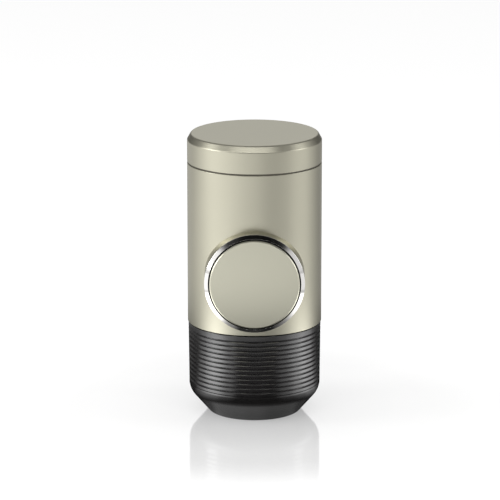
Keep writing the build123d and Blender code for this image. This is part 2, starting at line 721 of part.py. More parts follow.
# ------------------------------------------------------------------ brew head and capsule chamber
spigot_bottom = holder_top - holder_neck_length + slip
pocket_bottom = brew_bottom + channel_height - channel_radius
with BuildPart() as brew_head:
    turn([(0, brew_bottom), (holder_neck_radius + slip, brew_bottom),
          (holder_neck_radius + slip, spigot_bottom), (holder_radius, spigot_bottom),
          (holder_radius, brew_bottom), (brew_radius, brew_bottom), (brew_radius, brew_top), (0, brew_top)])
    column(upright(0, 0, brew_bottom), channel_radius, channel_height, mode=Mode.SUBTRACT)
    column(upright(0, valve_offset, pocket_bottom), channel_radius, brew_top - pocket_bottom,
           mode=Mode.SUBTRACT)
    column(Plane(origin=(0, 0, brew_bottom + channel_height), x_dir=(1, 0, 0), z_dir=(0, 1, 0)),
           channel_radius, valve_offset, mode=Mode.SUBTRACT)
    column(upright(0, valve_offset, brew_top - face_seal_depth), face_seal_outer + seat_gap, face_seal_depth,
           face_seal_inner - seat_gap, mode=Mode.SUBTRACT)
    for plane in frame_screw_planes:
        screw_hole(plane, frame_screw_length)
save(brew_head.part, "brew_head")

with BuildPart() as brew_seal:
    column(upright(0, valve_offset, brew_top - face_seal_depth + seat_gap), face_seal_outer,
           face_seal_depth, face_seal_inner)
save(brew_seal.part, "brew_seal")

with BuildPart() as frame_screws_set:
    for plane in frame_screw_planes:
        cap_screw(plane, frame_screw_length)
save(frame_screws_set.part, "frame_screws")

plate_top = brew_bottom - seat_gap
with BuildPart() as needle_plate:
    column(upright(0, 0, plate_top - needle_plate_thickness), capsule_end_radius - slip,
           needle_plate_thickness, channel_radius)
    for index in range(needle_count):
        [(x, y)] = spots(needle_circle, [90 + index * 360 / needle_count])
        with BuildSketch(upright(x, y, plate_top - needle_plate_thickness)) as root:
            Circle(needle_radius)
        with BuildSketch(upright(x, y, plate_top - needle_plate_thickness - needle_length)) as tip:
            Circle(needle_tip_radius)
        loft([tip.sketch, root.sketch])
save(needle_plate.part, "needle_plate")

with BuildPart() as needle_seal:
    turn(ring_outline(capsule_end_radius + slip, holder_neck_radius - slip,
                      holder_top + seat_gap, brew_bottom - seat_gap))
save(needle_seal.part, "needle_seal")

with BuildPart() as capsule_holder:
    turn([(holder_rim_bore, holder_bottom), (holder_radius, holder_bottom),
          (holder_radius, spigot_bottom - slip), (holder_neck_radius, spigot_bottom - slip),
          (holder_neck_radius, holder_top), (capsule_end_radius, holder_top),
          (capsule_mouth_radius, holder_bottom + capsule_rim_depth),
          (holder_rim_bore, holder_bottom + capsule_rim_depth)])
save(capsule_holder.part, "capsule_holder")

# ------------------------------------------------------------------ outlet head
outlet_top = brew_bottom - outlet_top_gap
with BuildPart() as outlet_head:
    turn([(spout_hole_radius, spout_tip), (spout_radius, spout_tip), (spout_radius, outlet_bottom),
          (outlet_radius - outlet_chamfer, outlet_bottom), (outlet_radius, outlet_bottom + outlet_chamfer),
          (outlet_radius, outlet_top), (outlet_bore, outlet_top), (outlet_bore, outlet_ledge),
          (pin_plate_radius + slip, outlet_ledge), (pin_plate_radius + slip, outlet_floor),
          (spout_hole_radius, outlet_floor)])
    with BuildSketch(Plane.XY.offset(outlet_bottom + outlet_chamfer + outlet_plate)) as flutes:
        with PolarLocations(outlet_radius + grip_flute_radius - grip_flute_depth, grip_flute_count):
            Circle(grip_flute_radius)
    extrude(flutes.sketch, amount=outlet_top, mode=Mode.SUBTRACT)
save(outlet_head.part, "outlet_head")

with BuildPart() as pin_plate:
    with BuildSketch(Plane.XY.offset(outlet_floor + seat_gap)):
        Circle(pin_plate_radius)
        with GridLocations(pin_pitch, pin_pitch, pin_rows - 1, pin_rows - 1):
            Rectangle(pin_side / 2, pin_side, mode=Mode.SUBTRACT)
    extrude(amount=pin_plate_thickness)
    with BuildSketch(Plane.XY.offset(pin_plate_top)) as pins:
        with GridLocations(pin_pitch, pin_pitch, pin_rows, pin_rows):
            Rectangle(pin_side, pin_side)
    extrude(pins.sketch, amount=pin_height, taper=pin_taper)
save(pin_plate.part, "pin_plate")

with BuildPart() as outlet_seal:
    turn(ring_outline(pin_plate_radius + slip, outlet_bore - slip, outlet_ledge + seat_gap,
                      outlet_ledge + seat_gap + outlet_seal_thickness))
save(outlet_seal.part, "outlet_seal")

# ------------------------------------------------------------------ cup and its ribbed grip
taper_angle = math.atan2(belly_height, belly_radius - foot_radius)


def cup_side(inset, floor, wall_radius):
    """Points of the cup's side, moved inwards by an inset: foot edge, belly and a point on the wall."""
    foot = foot_radius + (floor * math.cos(taper_angle) - inset) / math.sin(taper_angle)
    belly = ((wall_radius - foot_radius) * math.sin(taper_angle) + inset) / math.cos(taper_angle)
    return (foot, floor), (wall_radius, belly)


cup_outer = collar_outer
grip_inner = cup_outer + slip
with BuildPart() as cup_grip:
    foot, belly = cup_side(grip_wall, grip_wall, grip_inner)
    with BuildSketch(Plane.XZ):
        with BuildLine():
            FilletPolyline((0, 0), (foot_radius, 0), (belly_radius, belly_height),
                           (grip_top_radius, cup_top), radius=[foot_round, belly_round])
            Line((grip_top_radius, cup_top), (grip_inner, cup_top))
            FilletPolyline((grip_inner, cup_top), belly, foot, (0, grip_wall),
                           radius=[belly_round - grip_wall, foot_round / 2])
            Line((0, grip_wall), (0, 0))
        make_face()
    revolve()
    for rib in range(rib_count):
        height = cup_top - first_groove_drop - rib * rib_pitch
        share = (height - belly_height) / (cup_top - belly_height)
        wall = belly_radius + (grip_top_radius - belly_radius) * share
        turn([(wall - groove_depth, height), (wall + groove_depth, height - groove_width),
              (wall + groove_depth, height + groove_width)], mode=Mode.SUBTRACT)
save(cup_grip.part, "cup_grip")

cup_under = grip_wall + slip
seal_bottom = cup_top + (collar_rise - cup_seal_height) / 2
with BuildPart() as cup:
    foot, belly = cup_side(grip_wall + slip, cup_under, cup_outer)
    inner_foot, inner_belly = cup_side(grip_wall + slip + cup_wall, cup_floor, cup_inner)
    with BuildSketch(Plane.XZ):
        with BuildLine():
            FilletPolyline((0, cup_under), foot, belly, (cup_outer, collar_top),
                           radius=[foot_round / 2, belly_round - grip_wall])
            Line((cup_outer, collar_top), (cup_inner, collar_top))
            FilletPolyline((cup_inner, collar_top), inner_belly, inner_foot, (0, cup_floor),
                           radius=[belly_round - grip_wall - cup_wall, foot_round])
            Line((0, cup_floor), (0, cup_under))
        make_face()
    revolve()
    turn(ring_outline(cup_outer - cup_seal_groove, cup_outer + slip, seal_bottom,
                      seal_bottom + cup_seal_height), mode=Mode.SUBTRACT)
save(cup.part, "cup")

with BuildPart() as cup_seal:
    turn(ring_outline(cup_outer - cup_seal_groove + seat_gap, sleeve_inner - soft_gap,
                      seal_bottom + seat_gap, seal_bottom + cup_seal_height - seat_gap))
save(cup_seal.part, "cup_seal")
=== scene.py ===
"""Looks of a handheld manual espresso maker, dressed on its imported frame.

Sizes in the classes below are in millimetres and become metres where a mesh is written. The body's
axis is Z and the pump's axis runs parallel to Y, with the piston facing -Y. A section is an outline
of corners, and a turned piece is that outline carried round its axle. Finishes read Object
coordinates, so their grain stays on the piece when it moves.
"""

import json
import logging
import math
from abc import ABC, abstractmethod
from collections.abc import Mapping, Sequence
from dataclasses import dataclass, field
from enum import Enum

import bmesh
import bpy
import numpy as np
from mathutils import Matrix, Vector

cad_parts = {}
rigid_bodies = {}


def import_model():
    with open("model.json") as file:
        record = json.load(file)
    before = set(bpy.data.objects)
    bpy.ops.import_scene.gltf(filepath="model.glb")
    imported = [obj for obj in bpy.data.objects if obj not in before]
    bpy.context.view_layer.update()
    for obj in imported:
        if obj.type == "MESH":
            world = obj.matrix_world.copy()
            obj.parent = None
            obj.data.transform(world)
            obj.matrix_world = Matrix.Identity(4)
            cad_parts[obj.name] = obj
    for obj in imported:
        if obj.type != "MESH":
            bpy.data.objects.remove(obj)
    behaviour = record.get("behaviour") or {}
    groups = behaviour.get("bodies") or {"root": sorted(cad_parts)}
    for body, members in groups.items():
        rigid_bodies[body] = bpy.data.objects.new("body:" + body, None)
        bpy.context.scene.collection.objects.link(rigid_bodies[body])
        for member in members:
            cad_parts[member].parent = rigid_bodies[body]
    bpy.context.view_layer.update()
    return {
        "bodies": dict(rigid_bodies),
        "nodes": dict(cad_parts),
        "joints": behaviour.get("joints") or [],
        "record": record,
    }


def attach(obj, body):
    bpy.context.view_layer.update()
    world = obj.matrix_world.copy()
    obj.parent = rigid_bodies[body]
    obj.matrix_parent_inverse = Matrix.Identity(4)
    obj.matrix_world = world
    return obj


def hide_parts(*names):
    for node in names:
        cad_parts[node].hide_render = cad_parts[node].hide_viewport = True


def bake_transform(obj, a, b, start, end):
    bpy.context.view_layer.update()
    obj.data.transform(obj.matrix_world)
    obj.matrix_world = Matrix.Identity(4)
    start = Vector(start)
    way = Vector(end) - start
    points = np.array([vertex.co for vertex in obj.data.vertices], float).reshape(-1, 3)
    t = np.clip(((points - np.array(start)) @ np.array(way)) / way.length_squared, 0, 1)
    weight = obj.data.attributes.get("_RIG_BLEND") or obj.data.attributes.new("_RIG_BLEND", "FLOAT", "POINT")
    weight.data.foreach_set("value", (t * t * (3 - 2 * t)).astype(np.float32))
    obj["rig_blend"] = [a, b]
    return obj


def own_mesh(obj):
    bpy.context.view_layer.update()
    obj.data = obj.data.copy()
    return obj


LOG = logging.getLogger("espresso_maker")
METRES = 0.001
FULL_TURN = 2 * math.pi
PUMP_HEIGHT = 69.4  # of the pump's axis above the floor
ARC_STEP = 0.13  # the most that a rounding turns between two of its points, in radians
ON_WALL = 0.05  # how far from a wall's radius a point still counts as on the wall
WELD = 2e-6  # points nearer to each other than this become one, in metres

Array = np.ndarray
Colour = tuple[float, float, float]
Stops = tuple[tuple[float, float], ...]
WHITE: Colour = (1.0, 1.0, 1.0)


class Body(Enum):
    """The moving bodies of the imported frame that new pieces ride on."""

    MACHINE = "machine_body"
    LID = "lid"
    CUP = "coffee_cup"
    OUTLET = "outlet"
    PISTON = "piston_button"
    ROD = "pump_rod"


class Slot(Enum):
    """The record's material slots."""

    SLEEVE = "sleeve_metal"
    LID = "lid_metal"
    PISTON = "piston_metal"
    BEZEL = "bezel_chrome"
    GRIP = "grip_plastic"
    CUP = "cup_plastic"
    DARK = "dark_plastic"
    TANK = "tank_plastic"
    HOLDER = "holder_aluminium"
    BRASS = "pump_brass"
    STEEL = "pump_steel"
    RUBBER = "seal_rubber"


class Axle(Enum):
    """The line that a turned piece goes round: the body's axis or the pump's."""

    BODY = "body"
    PUMP = "pump"


# ------------------------------------------------------------------ sections and surfaces
def on_axle(axle: Axle, radius: Array | float, along: Array, angle: Array) -> Array:
    """Places points that are given by where they lie round an axle.

    A radius r, a distance d and an angle a give (r sin a, -r cos a, d) round the body's axis, and
    (r sin a, -d, h + r cos a) round the pump's, which runs at the height h.

    Args:
        axle: What the points go round.
        radius: Their radii.
        along: Their distances along the axle.
        angle: Their angles round it, from the body's front or from above the pump.

    Returns:
        The points, with x, y and z on the last axis.
    """
    radius, along, angle = np.broadcast_arrays(radius, along, angle)
    across, away = radius * np.sin(angle), radius * np.cos(angle)
    place = (across, -away, along) if axle is Axle.BODY else (across, -along, PUMP_HEIGHT + away)
    return np.stack(place, axis=-1)


@dataclass(frozen=True)
class Outline:
    """A section of straight runs with rounded corners.

    Each corner is (radius from the axle, distance along it, rounding), and a corner of two numbers is
    sharp. Every run carries points close to its ends, so that smooth shading stays flat between the
    roundings.
    """

    corners: Sequence[tuple[float, ...]]
    closed: bool = True
    spacing: float = 5.0
    fine_radius: float | None = None
    fine_spacing: float = 0.3
    edge: float = 0.15

    def points(self) -> Array:
        """Works out the outline's points.

        A rounding of radius r at a corner whose sides meet at an angle a starts r / tan(a / 2) from the
        corner, and its arc turns the start vector into the end vector about the centre.

        Returns:
            An (n, 2) array of radius and distance along the axle.
        """
        corners = np.array([(*corner, 0.0)[:3] for corner in self.corners], float)
        spots, rounds = corners[:, :2], corners[:, 2]
        bends = []
        for index, (spot, size) in enumerate(zip(spots, rounds)):
            at_end = not self.closed and index in (0, len(spots) - 1)
            bends.append(spot[None, :] if at_end or size <= 0 else self._bend(spots, index, size))
        parts = []
        for index, bend in enumerate(bends):
            parts.append(bend)
            if self.closed or index < len(bends) - 1:
                parts.append(self._run(bend[-1], bends[(index + 1) % len(bends)][0]))
        return np.vstack(parts)

    def _bend(self, spots: Array, index: int, size: float) -> Array:
        """Rounds one corner.

        Args:
            spots: All corners.
            index: The corner to round.
            size: Radius of the rounding.

        Returns:
            The arc's points, in order.
        """
        spot = spots[index]
        before = spots[index - 1] - spot
        after = spots[(index + 1) % len(spots)] - spot
        before, after = before / np.linalg.norm(before), after / np.linalg.norm(after)
        half = math.acos(float(np.clip(before @ after, -1, 1))) / 2
        inward = (before + after) / np.linalg.norm(before + after)
        centre = spot + inward * size / math.sin(half)
        start = spot + before * size / math.tan(half) - centre
        end = spot + after * size / math.tan(half) - centre
        sweep = math.pi - 2 * half
        share = np.linspace(0, 1, max(3, math.ceil(sweep / ARC_STEP)))[:, None]
        arc = np.sin((1 - share) * sweep) * start + np.sin(share * sweep) * end
        return centre + arc / math.sin(sweep)

    def _run(self, start: Array, end: Array) -> Array:
        """Divides one straight run, finely where it lies on the fine radius.

        Args:
            start: Where the run starts.
            end: Where it ends.

        Returns:
            The points between the two ends.
        """
        length = float(np.linalg.norm(end - start))
        if length < 4 * self.edge:
            return np.empty((0, 2))
        spacing = self.spacing
        if self.fine_radius is not None and np.ptp([start[0], end[0], self.fine_radius]) < ON_WALL:
            spacing = self.fine_spacing
        inner = length - 2 * self.edge
        places = self.edge + np.linspace(0, inner, max(2, math.ceil(inner / spacing) + 1))
        return start + (end - start) * (places / length)[:, None]


@dataclass(frozen=True)
class Relief(ABC):
    """A pattern that moves one wall of a turned piece outwards or inwards."""

    radius: float

    def __call__(self, radius: Array, along: Array, angle: Array) -> Array:
        """How far outwards each point moves, which is 0 for a point that isn't on the wall."""
        return np.where(np.abs(radius - self.radius) < ON_WALL, self.shift(along, angle), 0.0)

    @abstractmethod
    def shift(self, along: Array, angle: Array) -> Array:
        """How far outwards the wall moves at each distance along the axle and angle round it."""


@dataclass(frozen=True)
class Thread(Relief):
    """A screw thread: a ridge on an outer wall, or a groove in an inner one."""

    low: float
    high: float
    pitch: float
    depth: float
    starts: int = 1
    fade: float = 1.0

    def shift(self, along: Array, angle: Array) -> Array:
        """Works out the thread.

        The ridge is a rounded trapezium: a cosine of the helix's phase, steepened and clipped between
        0 and 1, times the depth, and faded out at both ends of the thread.

        Args:
            along: Distance of each point along the axle.
            angle: Angle of each point round the axle.

        Returns:
            The shifts, in millimetres.
        """
        phase = along / self.pitch - self.starts * angle / FULL_TURN
        ridge = np.clip(0.5 + 0.9 * np.cos(FULL_TURN * phase), 0, 1)
        below, above = (along - self.low) / self.fade, (self.high - along) / self.fade
        return self.depth * ridge * (np.clip(below, 0, 1) * np.clip(above, 0, 1))


@dataclass(frozen=True)
class Flutes(Relief):
    """Round-bottomed finger grooves that run along a wall."""

    count: int
    tool_radius: float
    depth: float
    low: float

    def shift(self, along: Array, angle: Array) -> Array:
        """Works out the grooves.

        A round tool stands outside the wall by its own radius less the groove's depth. The wall goes in
        to the tool's near side wherever that is inside the wall.

        Args:
            along: Distance of each point along the axle.
            angle: Angle of each point round the axle.

        Returns:
            The shifts in millimetres, which are never positive.
        """
        step = FULL_TURN / self.count
        offset = (angle + step / 2) % step - step / 2
        centre = self.radius + self.tool_radius - self.depth
        side = centre * np.sin(offset)
        reach = np.sqrt(np.clip(self.tool_radius**2 - side**2, 0, None))
        cut = np.minimum(centre * np.cos(offset) - reach - self.radius, 0)
        return np.where((np.abs(side) < self.tool_radius) & (along > self.low), cut, 0.0)


def linked(name: str, data: bpy.types.ID) -> bpy.types.Object:
    """Puts a mesh, a lamp or a camera into the scene.

    Args:
        name: Name of the object.
        data: What it holds.

    Returns:
        The new object.
    """
    made = bpy.data.objects.new(name, data)
    bpy.context.scene.collection.objects.link(made)
    return made


@dataclass
class Skin:
    """Collects the patches of one piece and welds them into a closed mesh."""

    name: str
    patches: list[Array] = field(default_factory=list)

    def add(self, grid: Array) -> None:
        """Adds a patch: a (rows, columns, 3) grid of points in millimetres."""
        self.patches.append(grid)

    def turn(self, outline: Outline, segments: int, axle: Axle = Axle.BODY,
             reliefs: Sequence[Relief] = ()) -> None:
        """Carries an outline round an axle.

        Args:
            outline: The section.
            segments: Number of steps round the axle.
            axle: What it goes round.
            reliefs: The patterns in its walls.
        """
        section = outline.points()
        if outline.closed:
            section = np.vstack([section, section[:1]])
        angle = np.linspace(0, FULL_TURN, segments + 1)[None, :]
        radius, along = section[:, :1], section[:, 1:]
        far = radius + sum(relief(radius, along, angle) for relief in reliefs)
        self.add(on_axle(axle, far, along, angle))

    def tab(self, radii: tuple[float, float], ends: tuple[float, float], centre: float,
            width: float) -> None:
        """Adds a closed lug: a piece of a ring round the pump's axis, as a box bent round it.

        Args:
            radii: Inner and outer radius.
            ends: Front distances of its back and its front face.
            centre: Angle of its middle, from the top.
            width: Angle that it spans.
        """
        (inner, outer), (back, front) = radii, ends
        loop = np.array([(inner, back), (outer, back), (outer, front), (inner, front), (inner, back)])
        angle = np.linspace(centre - width / 2, centre + width / 2, 13)[None, :]
        grid = on_axle(Axle.PUMP, loop[:, :1], loop[:, 1:], angle)
        self.add(grid)
        for end in (0, -1):
            self.add(np.stack([grid[[0, 1], end], grid[[3, 2], end]]))

    def piece(self, sharp: float = 32.0) -> bpy.types.Object:
        """Writes the patches as one mesh object at the origin.

        The patches' shared points are merged, the faces are turned outwards, and edges sharper than the
        given angle stay crisp while the rest is shaded smooth.

        Args:
            sharp: Angle in degrees.

        Returns:
            The new object, linked into the scene.
        """
        points, faces, start = [], [], 0
        for grid in self.patches:
            rows, columns = grid.shape[:2]
            index = start + np.arange(rows * columns).reshape(rows, columns)
            faces.append(np.stack([index[:-1, :-1], index[1:, :-1], index[1:, 1:], index[:-1, 1:]],
                                  axis=2).reshape(-1, 4))
            points.append(grid.reshape(-1, 3))
            start += rows * columns
        mesh = bpy.data.meshes.new(self.name)
        mesh.from_pydata((np.vstack(points) * METRES).tolist(), [], np.vstack(faces).tolist())
        solid = bmesh.new()
        solid.from_mesh(mesh)
        bmesh.ops.remove_doubles(solid, verts=solid.verts, dist=WELD)
        bmesh.ops.recalc_face_normals(solid, faces=solid.faces)
        solid.to_mesh(mesh)
        solid.free()
        mesh.shade_smooth()
        mesh.set_sharp_from_angle(angle=math.radians(sharp))
        return linked(self.name, mesh)


# ------------------------------------------------------------------ shader writing
class Wire:
    """A shader socket that Python arithmetic is written with. Each operation adds one Math node."""

    def __init__(self, tree: bpy.types.NodeTree, socket: bpy.types.NodeSocket) -> None:
        """Keeps the tree and the socket."""
        self.tree = tree
        self.socket = socket

    def _join(self, operation: str, left: "Wire | float", right: "Wire | float") -> "Wire":
        """Adds a Math node.

        Args:
            operation: The Math node's operation.
            left: First term.
            right: Second term.

        Returns:
            The node's result.
        """
        node = self.tree.nodes.new("ShaderNodeMath")
        node.operation = operation
        for socket, term in zip(node.inputs, (left, right)):
            if isinstance(term, Wire):
                self.tree.links.new(term.socket, socket)
            else:
                socket.default_value = term
        return Wire(self.tree, node.outputs[0])

    def __add__(self, other: "Wire | float") -> "Wire":
        """Sum."""
        return self._join("ADD", self, other)

    def __sub__(self, other: "Wire | float") -> "Wire":
        """Difference."""
        return self._join("SUBTRACT", self, other)

    def __rsub__(self, other: "Wire | float") -> "Wire":
        """Difference, with this socket as the second term."""
        return self._join("SUBTRACT", other, self)

    def __mul__(self, other: "Wire | float") -> "Wire":
        """Product."""
        return self._join("MULTIPLY", self, other)

    def __radd__(self, other: float) -> "Wire":
        """Sum, with this socket as the second term."""
        return self._join("ADD", self, other)

    def larger(self, other: "Wire | float") -> "Wire":
        """The larger of two values."""
        return self._join("MAXIMUM", self, other)

    def angle_over(self, other: "Wire") -> "Wire":
        """The angle whose tangent is this value over the other, in radians."""
        return self._join("ARCTAN2", self, other)


Value = Wire | float | Sequence[float]
Inputs = Mapping[str | int, Value]


class Recipe:
    """Writes the node tree of one material, or of the world."""

    def __init__(self, tree: bpy.types.NodeTree) -> None:
        """Empties the tree."""
        self.tree = tree
        tree.nodes.clear()

    def feed(self, socket: bpy.types.NodeSocket, value: Value) -> None:
        """Links a wire to a socket, or sets the socket's own value.

        Args:
            socket: The socket.
            value: The wire, or a number, or as many numbers as the socket takes. A colour may leave out
                its opacity.
        """
        if isinstance(value, Wire):
            self.tree.links.new(value.socket, socket)
        elif isinstance(value, (int, float)):
            socket.default_value = value
        else:
            socket.default_value = (*value, 1.0)[:len(socket.default_value)]

    def node(self, kind: str, inputs: Inputs | None = None, output: str | int = 0,
             **settings: str) -> Wire:
        """Adds any node.

        Args:
            kind: The node's type, without the word ShaderNode that it starts with.
            inputs: Values or wires for its sockets, by name or number.
            output: The output that is wanted, by name or number.
            settings: Its properties, set first.

        Returns:
            That output.
        """
        made = self.tree.nodes.new(f"ShaderNode{kind}")
        for name, setting in settings.items():
            setattr(made, name, setting)
        for name, value in (inputs or {}).items():
            self.feed(made.inputs[name], value)
        return Wire(self.tree, made.outputs[output])

    def place(self, scale: Sequence[float]) -> Wire:
        """Object coordinates in metres, stretched along x, y and z."""
        return self.node("Mapping", {"Vector": self.node("TexCoord", output="Object"), "Scale": scale})

    def noise(self, where: Wire, scale: float, detail: float = 2.0, rough: float = 0.5) -> Wire:
        """Noise between 0 and 1 at a scale in cycles per metre."""
        return self.node("TexNoise", {"Vector": where, "Scale": scale, "Detail": detail,
                                      "Roughness": rough})

    def bump(self, height: Wire, distance: float) -> Wire:
        """A normal from a height between 0 and 1 and the depth in metres that 1 stands for."""
        return self.node("Bump", {"Height": height, "Distance": distance})

    def split(self, vector: Wire) -> tuple[Wire, ...]:
        """The x, y and z of a vector."""
        parts = self.node("SeparateXYZ", {0: vector}).socket.node.outputs
        return tuple(Wire(self.tree, part) for part in parts)

    def ramp(self, value: Wire, stops: Stops) -> Wire:
        """Adds a smooth curve.

        Args:
            value: The position on it, from 0 to 1.
            stops: The (position, brightness) pairs that it runs through, in order.

        Returns:
            The brightness.
        """
        made = self.tree.nodes.new("ShaderNodeValToRGB")
        made.color_ramp.interpolation = "EASE"
        for index, (position, level) in enumerate(stops):
            stop = (made.color_ramp.elements[index] if index < 2
                    else made.color_ramp.elements.new(position))
            stop.position, stop.color = position, (level, level, level, 1.0)
        self.feed(made.inputs[0], value)
        return Wire(self.tree, made.outputs["Color"])

    def rays(self) -> tuple[Wire, Wire]:
        """Tells what kind of ray is looking.

        Returns:
            Whether it comes from the camera or through something clear, and whether it is a reflection,
            each as 1 or 0.
        """
        path = self.tree.nodes.new("ShaderNodeLightPath")
        camera, through, glossy = (Wire(self.tree, path.outputs[f"Is {kind} Ray"])
                                   for kind in ("Camera", "Transmission", "Glossy"))
        return camera.larger(through), glossy

    def end(self, shader: Wire, kind: str = "Material") -> None:
        """Ends the tree of a material or a world with a shader."""
        made = self.tree.nodes.new(f"ShaderNodeOutput{kind}")
        self.tree.links.new(shader.socket, made.inputs["Surface"])


def new_recipe(name: str) -> tuple[bpy.types.Material, Recipe]:
    """Makes an empty material.

    Args:
        name: Its name.

    Returns:
        The material and the recipe that writes it.
    """
    material = bpy.data.materials.new(name)
    material.use_nodes = True
    return material, Recipe(material.node_tree)


# ------------------------------------------------------------------ finishes
@dataclass(frozen=True)
class Layer:
    """Noise in a finish, with how much of it goes into the shade, the roughness and the height."""

    scale: float
    detail: float = 2.0
    rough: float = 0.5
    shade: float = 0.0
    sheen: float = 0.0
    height: float = 0.0
    stretched: bool = False


@dataclass(frozen=True)
class Finish:
    """How a surface looks: a colour that wanders between two shades, made uneven by its layers."""

    colour: Colour
    roughness: float
    depth: float
    shades: tuple[float, float]
    layers: tuple[Layer, ...]
    stretch: Sequence[float] = (1.0, 1.0, 1.0)
    metallic: float = 0.0
    specular: float = 0.5
    index: float = 1.5

    def material(self, name: str) -> bpy.types.Material:
        """Writes the finish.

        The shade is the sum of the layers' noises times their shares in it, and so is the height. The
        roughness is the plain one plus each noise's distance from 0.5 times its share in the sheen.

        Args:
            name: The material's name.

        Returns:
            The new material.
        """
        material, recipe = new_recipe(name)
        noises = [(layer, recipe.noise(recipe.place(self.stretch if layer.stretched else (1.0, 1.0, 1.0)),
                                       layer.scale, layer.detail, layer.rough)) for layer in self.layers]
        dark, light = (tuple(min(1.0, channel * factor) for channel in self.colour)
                       for factor in self.shades)
        shade = sum(noise * layer.shade for layer, noise in noises if layer.shade)
        height = sum(noise * layer.height for layer, noise in noises if layer.height)
        recipe.end(recipe.node("BsdfPrincipled", {
            "Base Color": recipe.node("Mix", {0: shade, 6: dark, 7: light}, output=2, data_type="RGBA"),
            "Metallic": self.metallic,
            "Roughness": sum(((noise - 0.5) * layer.sheen for layer, noise in noises if layer.sheen),
                             self.roughness),
            "Specular IOR Level": self.specular,
            "IOR": self.index,
            "Normal": recipe.bump(height, self.depth),
        }))
        return material


@dataclass(frozen=True)
class SatinMetal(Finish):
    """Bead-blasted and anodised metal: a fine even grain, a soft sheen and faint cloudy patches."""

    roughness: float = 0.36
    depth: float = 4e-6
    shades: tuple[float, float] = (0.94, 1.05)
    layers: tuple[Layer, ...] = (Layer(3400.0, 2.0, 0.6, shade=0.4, sheen=0.1, height=0.7),
                                 Layer(42.0, 3.0, shade=0.6, sheen=0.05),
                                 Layer(1190.0, 1.0, height=0.3))
    metallic: float = 1.0


@dataclass(frozen=True)
class PolishedMetal(Finish):
    """Plated and polished metal with hairline wiping marks round it and faint smears."""

    roughness: float = 0.085
    depth: float = 4e-7
    shades: tuple[float, float] = (0.96, 1.0)
    layers: tuple[Layer, ...] = (Layer(700.0, 3.0, 0.7, sheen=0.03, height=1.0, stretched=True),
                                 Layer(110.0, shade=1.0, sheen=0.03))
    stretch: Sequence[float] = (1.0, 9.0, 1.0)
    metallic: float = 1.0


@dataclass(frozen=True)
class TurnedMetal(Finish):
    """Metal straight from a lathe: fine rings across its axis and a little stain."""

    roughness: float = 0.3
    depth: float = 6e-6
    shades: tuple[float, float] = (0.86, 1.04)
    layers: tuple[Layer, ...] = (Layer(420.0, 3.0, 0.65, sheen=0.16, height=1.0, stretched=True),
                                 Layer(160.0, 3.0, shade=1.0, sheen=0.08))
    metallic: float = 1.0


@dataclass(frozen=True)
class MouldedPlastic(Finish):
    """Moulded plastic with a spark-eroded skin: a fine grain over slow waves of sheen."""

    roughness: float = 0.42
    depth: float = 5e-6
    shades: tuple[float, float] = (0.8, 1.2)
    layers: tuple[Layer, ...] = (Layer(2600.0, 3.0, 0.6, shade=0.5, sheen=0.07, height=1.0),
                                 Layer(70.0, shade=0.5, sheen=0.07))


@dataclass(frozen=True)
class Rubber(Finish):
    """Pressed silicone rubber: matt, with a dry bloom and fine pores."""

    roughness: float = 0.66
    depth: float = 8e-6
    shades: tuple[float, float] = (0.8, 1.5)
    layers: tuple[Layer, ...] = (Layer(240.0, 4.0, 0.65, shade=1.0, sheen=0.2),
                                 Layer(3000.0, height=1.0))


@dataclass
class Paintbox:
    """One material for each of the record's slots."""

    finishes: Mapping[Slot, Finish]
    made: dict[Slot, bpy.types.Material] = field(default_factory=dict)

    def get(self, slot: Slot) -> bpy.types.Material:
        """Gives a slot's material, and writes it the first time that it is asked for.

        Args:
            slot: The slot.

        Returns:
            Its material.
        """
        if slot not in self.made:
            self.made[slot] = self.finishes[slot].material(slot.value)
        return self.made[slot]

    def dress_nodes(self, frame: Mapping[str, object]) -> None:
        """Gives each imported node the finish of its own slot.
        """
        slots = {entry["node"]: entry["material_slot"] for entry in frame["record"]["subparts"]}
        for name, piece in frame["nodes"].items():
            for place in piece.material_slots:
                place.material = self.get(Slot(slots[name]))


# ------------------------------------------------------------------ sub-assemblies
@dataclass
class SubAssembly(ABC):
    """A group of pieces that is built and dressed together."""

    paints: Paintbox

    @abstractmethod
    def build(self) -> None:
        """Builds and dresses the pieces."""

    def finish(self, piece: bpy.types.Object, body: Body, slot: Slot, *nodes: str) -> None:
        """Dresses a new piece, makes it ride on its body and names the nodes that it stands for.

        Args:
            piece: The new piece.
            body: The body that carries it, or the first of two that it already stretches between.
            slot: The slot of its finish.
            nodes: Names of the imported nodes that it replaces, if any.
        """
        piece.data.materials.append(self.paints.get(slot))
        if "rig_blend" not in piece:
            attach(piece, body.value)
        if nodes:
            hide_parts(*nodes)
        LOG.info("%s: %d faces, rides on %s, stands for %s", piece.name, len(piece.data.polygons),
                 body.value, ", ".join(nodes) or "nothing")


